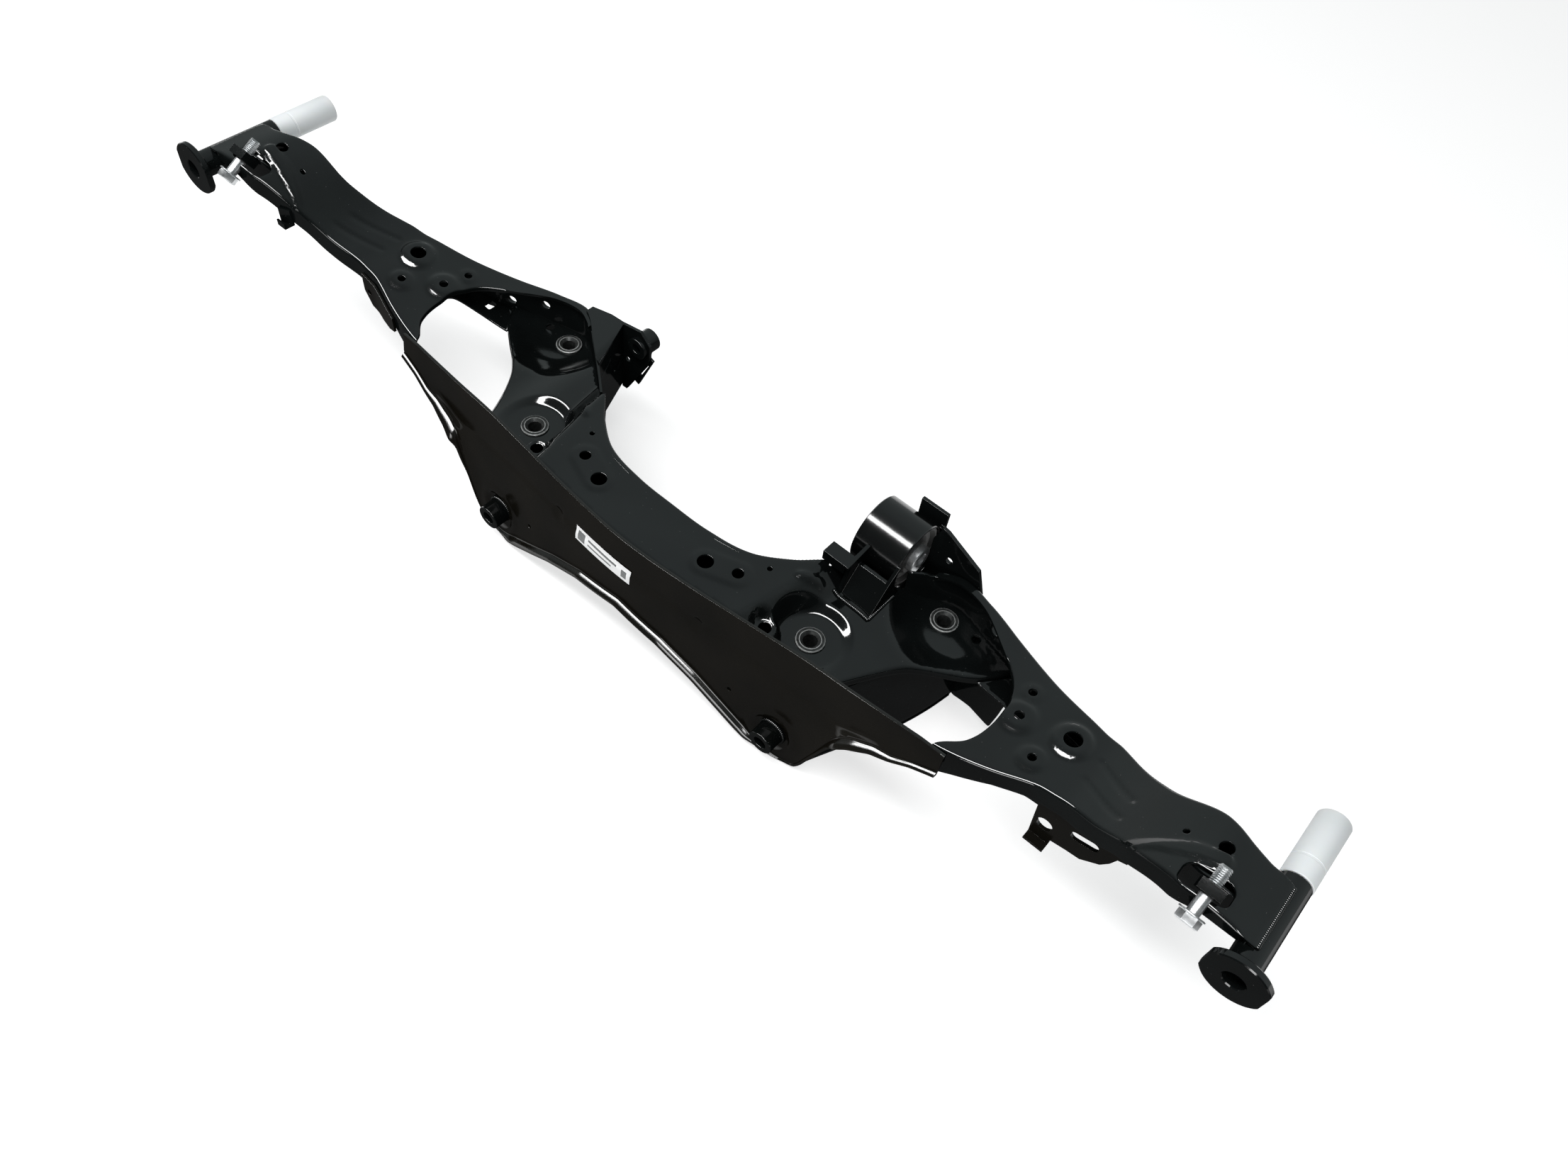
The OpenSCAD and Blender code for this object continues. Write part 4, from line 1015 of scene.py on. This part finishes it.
for s, side in hands:
    for which, (cx, cy), top in (("front", collar_front, -88.0), ("rear", collar_rear, -99.0)):
        low = float(max(straight(floor_line, cx - 12.5), straight(floor_line, cx))) + lap + 2 * gap
        profile = [(6.25, low + 1), (7.2, low), (11.6, low), (12.5, low + 0.9), (12.5, top - 0.7),
                   (11.6, top), (9.6, top - 0.15), (8.8, top), (6.25, top - 2.2)]
        collar = turned(f"crush_collar_{which}_{side}", profile, (s * cx, cy, 0), (0, 0, 1), worn_paint,
                        corner=30)
        collar.data.materials.append(bare_rim)
        for face in collar.data.polygons:
            out = math.hypot(face.center.x * 1000 - s * cx, face.center.y * 1000 - cy)
            if face.center.z * 1000 > top - 0.6 and (out > 11.8 or 9.0 < out < 9.5):
                face.material_index = 1
        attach(collar, "root")
        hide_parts(f"collar_{which}_{side}")
    boss = soften_solid(f"front_boss_{side}", f"boss_{side}", 0.8, black_paint)
    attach(boss, "root")
    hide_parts(f"boss_{side}")

# Mount bush
# A rubber bush pressed into a black-painted steel sleeve, with a zinc-plated steel tube moulded into its
# middle. It sits in the cradle at the rear right.

# Satin black sleeve paint: rolled on after pressing, with a softer gloss than the dipped parts.
sleeve_paint = dip_paint("satin_black_sleeve_paint", "#060707", "#0b0c0c", (0.13, 0.18), (0.2, 0.7), 0.1)

# Moulded rubber: a deep matt black with a faint grey cloud.
bush_rubber = clouded("moulded_black_rubber", ("#1d1d1c", "#2c2c2a"), 0.3, 3.125, 4.0,
                      {"IOR": 1.5, "Roughness": 0.62}, grain=(3.125, 4.0, 0.15, 0.0004))

bush_at = (160.5, 170.0, -63.0)
shell_half = [(29.5, -22.6), (30.2, -23.5), (31.2, -23.5), (32, -22.6)]
rubber_half = [(13, -21.5), (16, -21.5), (19, -18.5), (24, -18.5), (27, -21.5), (29.5, -21.5)]
core_half = [(6.25, -26.7), (7, -27.5), (12.2, -27.5), (13, -26.7)]
for name, node, half, finish, slot in (("bush_sleeve", "bush_outer", shell_half, sleeve_paint, "black_paint"),
                                       ("bush_filling", "bush_rubber", rubber_half, bush_rubber, "rubber"),
                                       ("bush_tube", "bush_core", core_half, bright_zinc, "zinc")):
    profile = half + [(r, -along) for r, along in reversed(half)]
    part = turned(name, profile, bush_at, (1, 0, 0), finish, 96)
    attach(part, "root")
    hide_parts(node)

# Brackets
# Cut and folded steel plates: the cradle and gusset of the bush on the right, the nut-tube bracket and its
# clip on the left, and under the arms the link bracket, the lip patch and the wire clip. All are welded on
# before painting.
plate_reach = 0.005
upright_reach = (0.0052, -0.0115)
for name, node, width, finish in (
        ("bush_cradle", "bush_bracket", 0.9, black_paint),
        ("bush_gusset", "gusset_plate", 0.9, black_paint),
        ("rear_bracket_left", "left_bracket", 0.9, black_paint),
        ("threaded_tube_left", "nut_tube", 0.8, black_paint),
        ("slot_clip_left", "slotted_clip", 0.5, black_paint),
        ("link_plate_right", "link_bracket", 0.7, web_paint),
        ("lip_plate_left", "lip_patch", 0.6, web_paint),
        ("wire_hook_left", "wire_clip", 0.4, black_paint)):
    part = soften_solid(name, node, width, finish)
    if node == "left_bracket":
        # Its plate and its upright are drawn on to the rear panel.
        for v in part.data.vertices:
            px, py = -1000 * v.co.x, 1000 * v.co.y
            edge = float(batten(rear_line, px))
            if py < edge + 1.6 and v.co.z > -0.068:
                v.co.y -= plate_reach * float(slant(rear_line, px))
            elif px < 173 and py < edge + 9:
                v.co.x += upright_reach[0]
                v.co.y += upright_reach[1]
    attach(part, "root")
    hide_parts(node)

# The upright of the left bracket runs on past the nut tube to the rear panel.
upright = [(163.0, 138.6), (175.5, 167.8), (177.8, 166.9), (165.3, 137.7)]
verts = np.array([(-x, y, z) for z in (-66.0, -96.0) for x, y in upright])
faces = [(0, 1, 2, 3), (4, 5, 6, 7)] + [(k, (k + 1) % 4, (k + 1) % 4 + 4, k + 4) for k in range(4)]
plate = face_out(make_piece("rear_bracket_foot_left", verts, faces, black_paint, 35))
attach(plate, "root")

# Weld seams
# MIG seams of steel wire, laid before painting: rows of overlapping ripples along the joints that show, at
# the body mounts, the front bosses, the cradle of the bush and the nut tube.
seams = bpy.data.node_groups.new("weld_seam", "GeometryNodeTree")
for way, name, kind in (("INPUT", "Geometry", "NodeSocketGeometry"), ("INPUT", "Ripple", "NodeSocketFloat"),
                        ("INPUT", "Width", "NodeSocketFloat"), ("INPUT", "Paint", "NodeSocketMaterial"),
                        ("OUTPUT", "Geometry", "NodeSocketGeometry")):
    seams.interface.new_socket(name, in_out=way, socket_type=kind)
given = put(seams, "NodeGroupInput")
line = put(seams, "GeometryNodeMeshToCurve", feeds={"Mesh": (given, "Geometry")})
spaced = put(seams, "GeometryNodeResampleCurve",
             feeds={"Curve": (line, "Curve"), "Length": (given, "Ripple")}, mode="LENGTH")
drop_shape = put(seams, "GeometryNodeMeshUVSphere", {"Segments": 8, "Rings": 5}, {"Radius": (given, "Width")})
along = put(seams, "GeometryNodeInputTangent")
aligned = put(seams, "FunctionNodeAlignRotationToVector", feeds={"Vector": (along, "Tangent")}, axis="X")
beads = put(seams, "GeometryNodeInstanceOnPoints", {"Scale": (0.8, 1.0, 0.75)},
            {"Points": (spaced, "Curve"), "Instance": (drop_shape, "Mesh"), "Rotation": (aligned, "Rotation")})
whole = put(seams, "GeometryNodeRealizeInstances", feeds={"Geometry": (beads, "Instances")})
smooth = put(seams, "GeometryNodeSetShadeSmooth", feeds={"Geometry": (whole, "Geometry")})
painted = put(seams, "GeometryNodeSetMaterial",
              feeds={"Geometry": (smooth, "Geometry"), "Material": (given, "Paint")})
put(seams, "NodeGroupOutput", feeds={"Geometry": (painted, "Geometry")})


def round_tube(x, y, z, r, n=40):
    """A seam round a tube that points along Y."""
    return [(x + r * math.cos(a), y, z + r * math.sin(a)) for a in np.linspace(0, 2 * math.pi, n)]


def on_pan(x, y):
    """A straight seam on the pan, along one of the two directions."""
    x, y = np.broadcast_arrays(x, y)
    return np.stack([x, y, pan_height(x, y) + 0.8], 1)


seam_r = 12.6
ripple = 0.0016
seam_width = 0.0021
seam_paths = []
for s in (1, -1):
    saddle = [(s * 549.4, y, seam_r) for y in np.linspace(23, 75, 14)]
    washer = round_tube(s * half_span, 6.4, 0, seam_r)
    boss_ring = round_tube(s * boss_x, web_face(boss_x, boss_z) + 2.2, boss_z, seam_r)
    seam_paths += [saddle, washer, boss_ring]
seam_paths += [on_pan(np.linspace(150, 186, 9), 105.6), on_pan(186.6, np.linspace(107, 140, 9))]
seam_paths += [round_tube(-163, 194.2, -77, 11.4, 30)]
points = []
links = []
for seam in seam_paths:
    links += [(len(points) + i, len(points) + i + 1) for i in range(len(seam) - 1)]
    points += [tuple(0.001 * c for c in p) for p in seam]
seam_mesh = bpy.data.meshes.new("weld_seams")
seam_mesh.from_pydata(points, links, [])
welds = stand("weld_seams", seam_mesh)
layer = welds.modifiers.new("weld_seam", "NODES")
layer.node_group = seams
sockets = {item.name: item.identifier for item in seams.interface.items_tree if item.in_out == "INPUT"}
layer[sockets["Ripple"]] = ripple
layer[sockets["Width"]] = seam_width
layer[sockets["Paint"]] = black_paint
settle(welds)
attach(welds, "root")

# Label
# A thin plastic film, cut square and stuck to the front of the web over the paint. Plain grey bars are
# printed on it.

# Printed polyester film: a clean white with a low sheen.
film_surface = {"IOR": 1.46, "Roughness": 0.42}
label_film = clouded("white_label_film", ("#f6f7f7", "#fdfdfd"), 0.3, 11.11, 2.0, film_surface)

# Grey ink on the film: flat, with the film's own sheen.
label_print = clouded("grey_label_print", ("#5d5f60", "#767878"), 0.3, 3.333, 2.0, film_surface)

label_x = np.linspace(-56, 12, 69)
label_z = np.linspace(-91.5, -106.5, 16)
sections = []
for x in label_x:
    sections.append([(x, web_face(x, z) - 0.75, z) for z in label_z])
film_verts, film_faces = give_gauge(*loft(sections), 0.45, 0.1)
film = make_piece("label_plain", film_verts, film_faces, label_film)
film.data.materials.append(label_print)
bars = ((-53, -44, -104.4, -94.6), (-40, -4, -97.6, -95.4), (-40, -10, -102.6, -100.4), (2, 8, -103.4, -95.6))
for face in film.data.polygons:
    fx, fz = face.center.x * 1000, face.center.z * 1000
    if face.normal.y < -0.5 and any(a < fx < b and low < fz < high for a, b, low, high in bars):
        face.material_index = 1
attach(film, "root")
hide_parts("label")
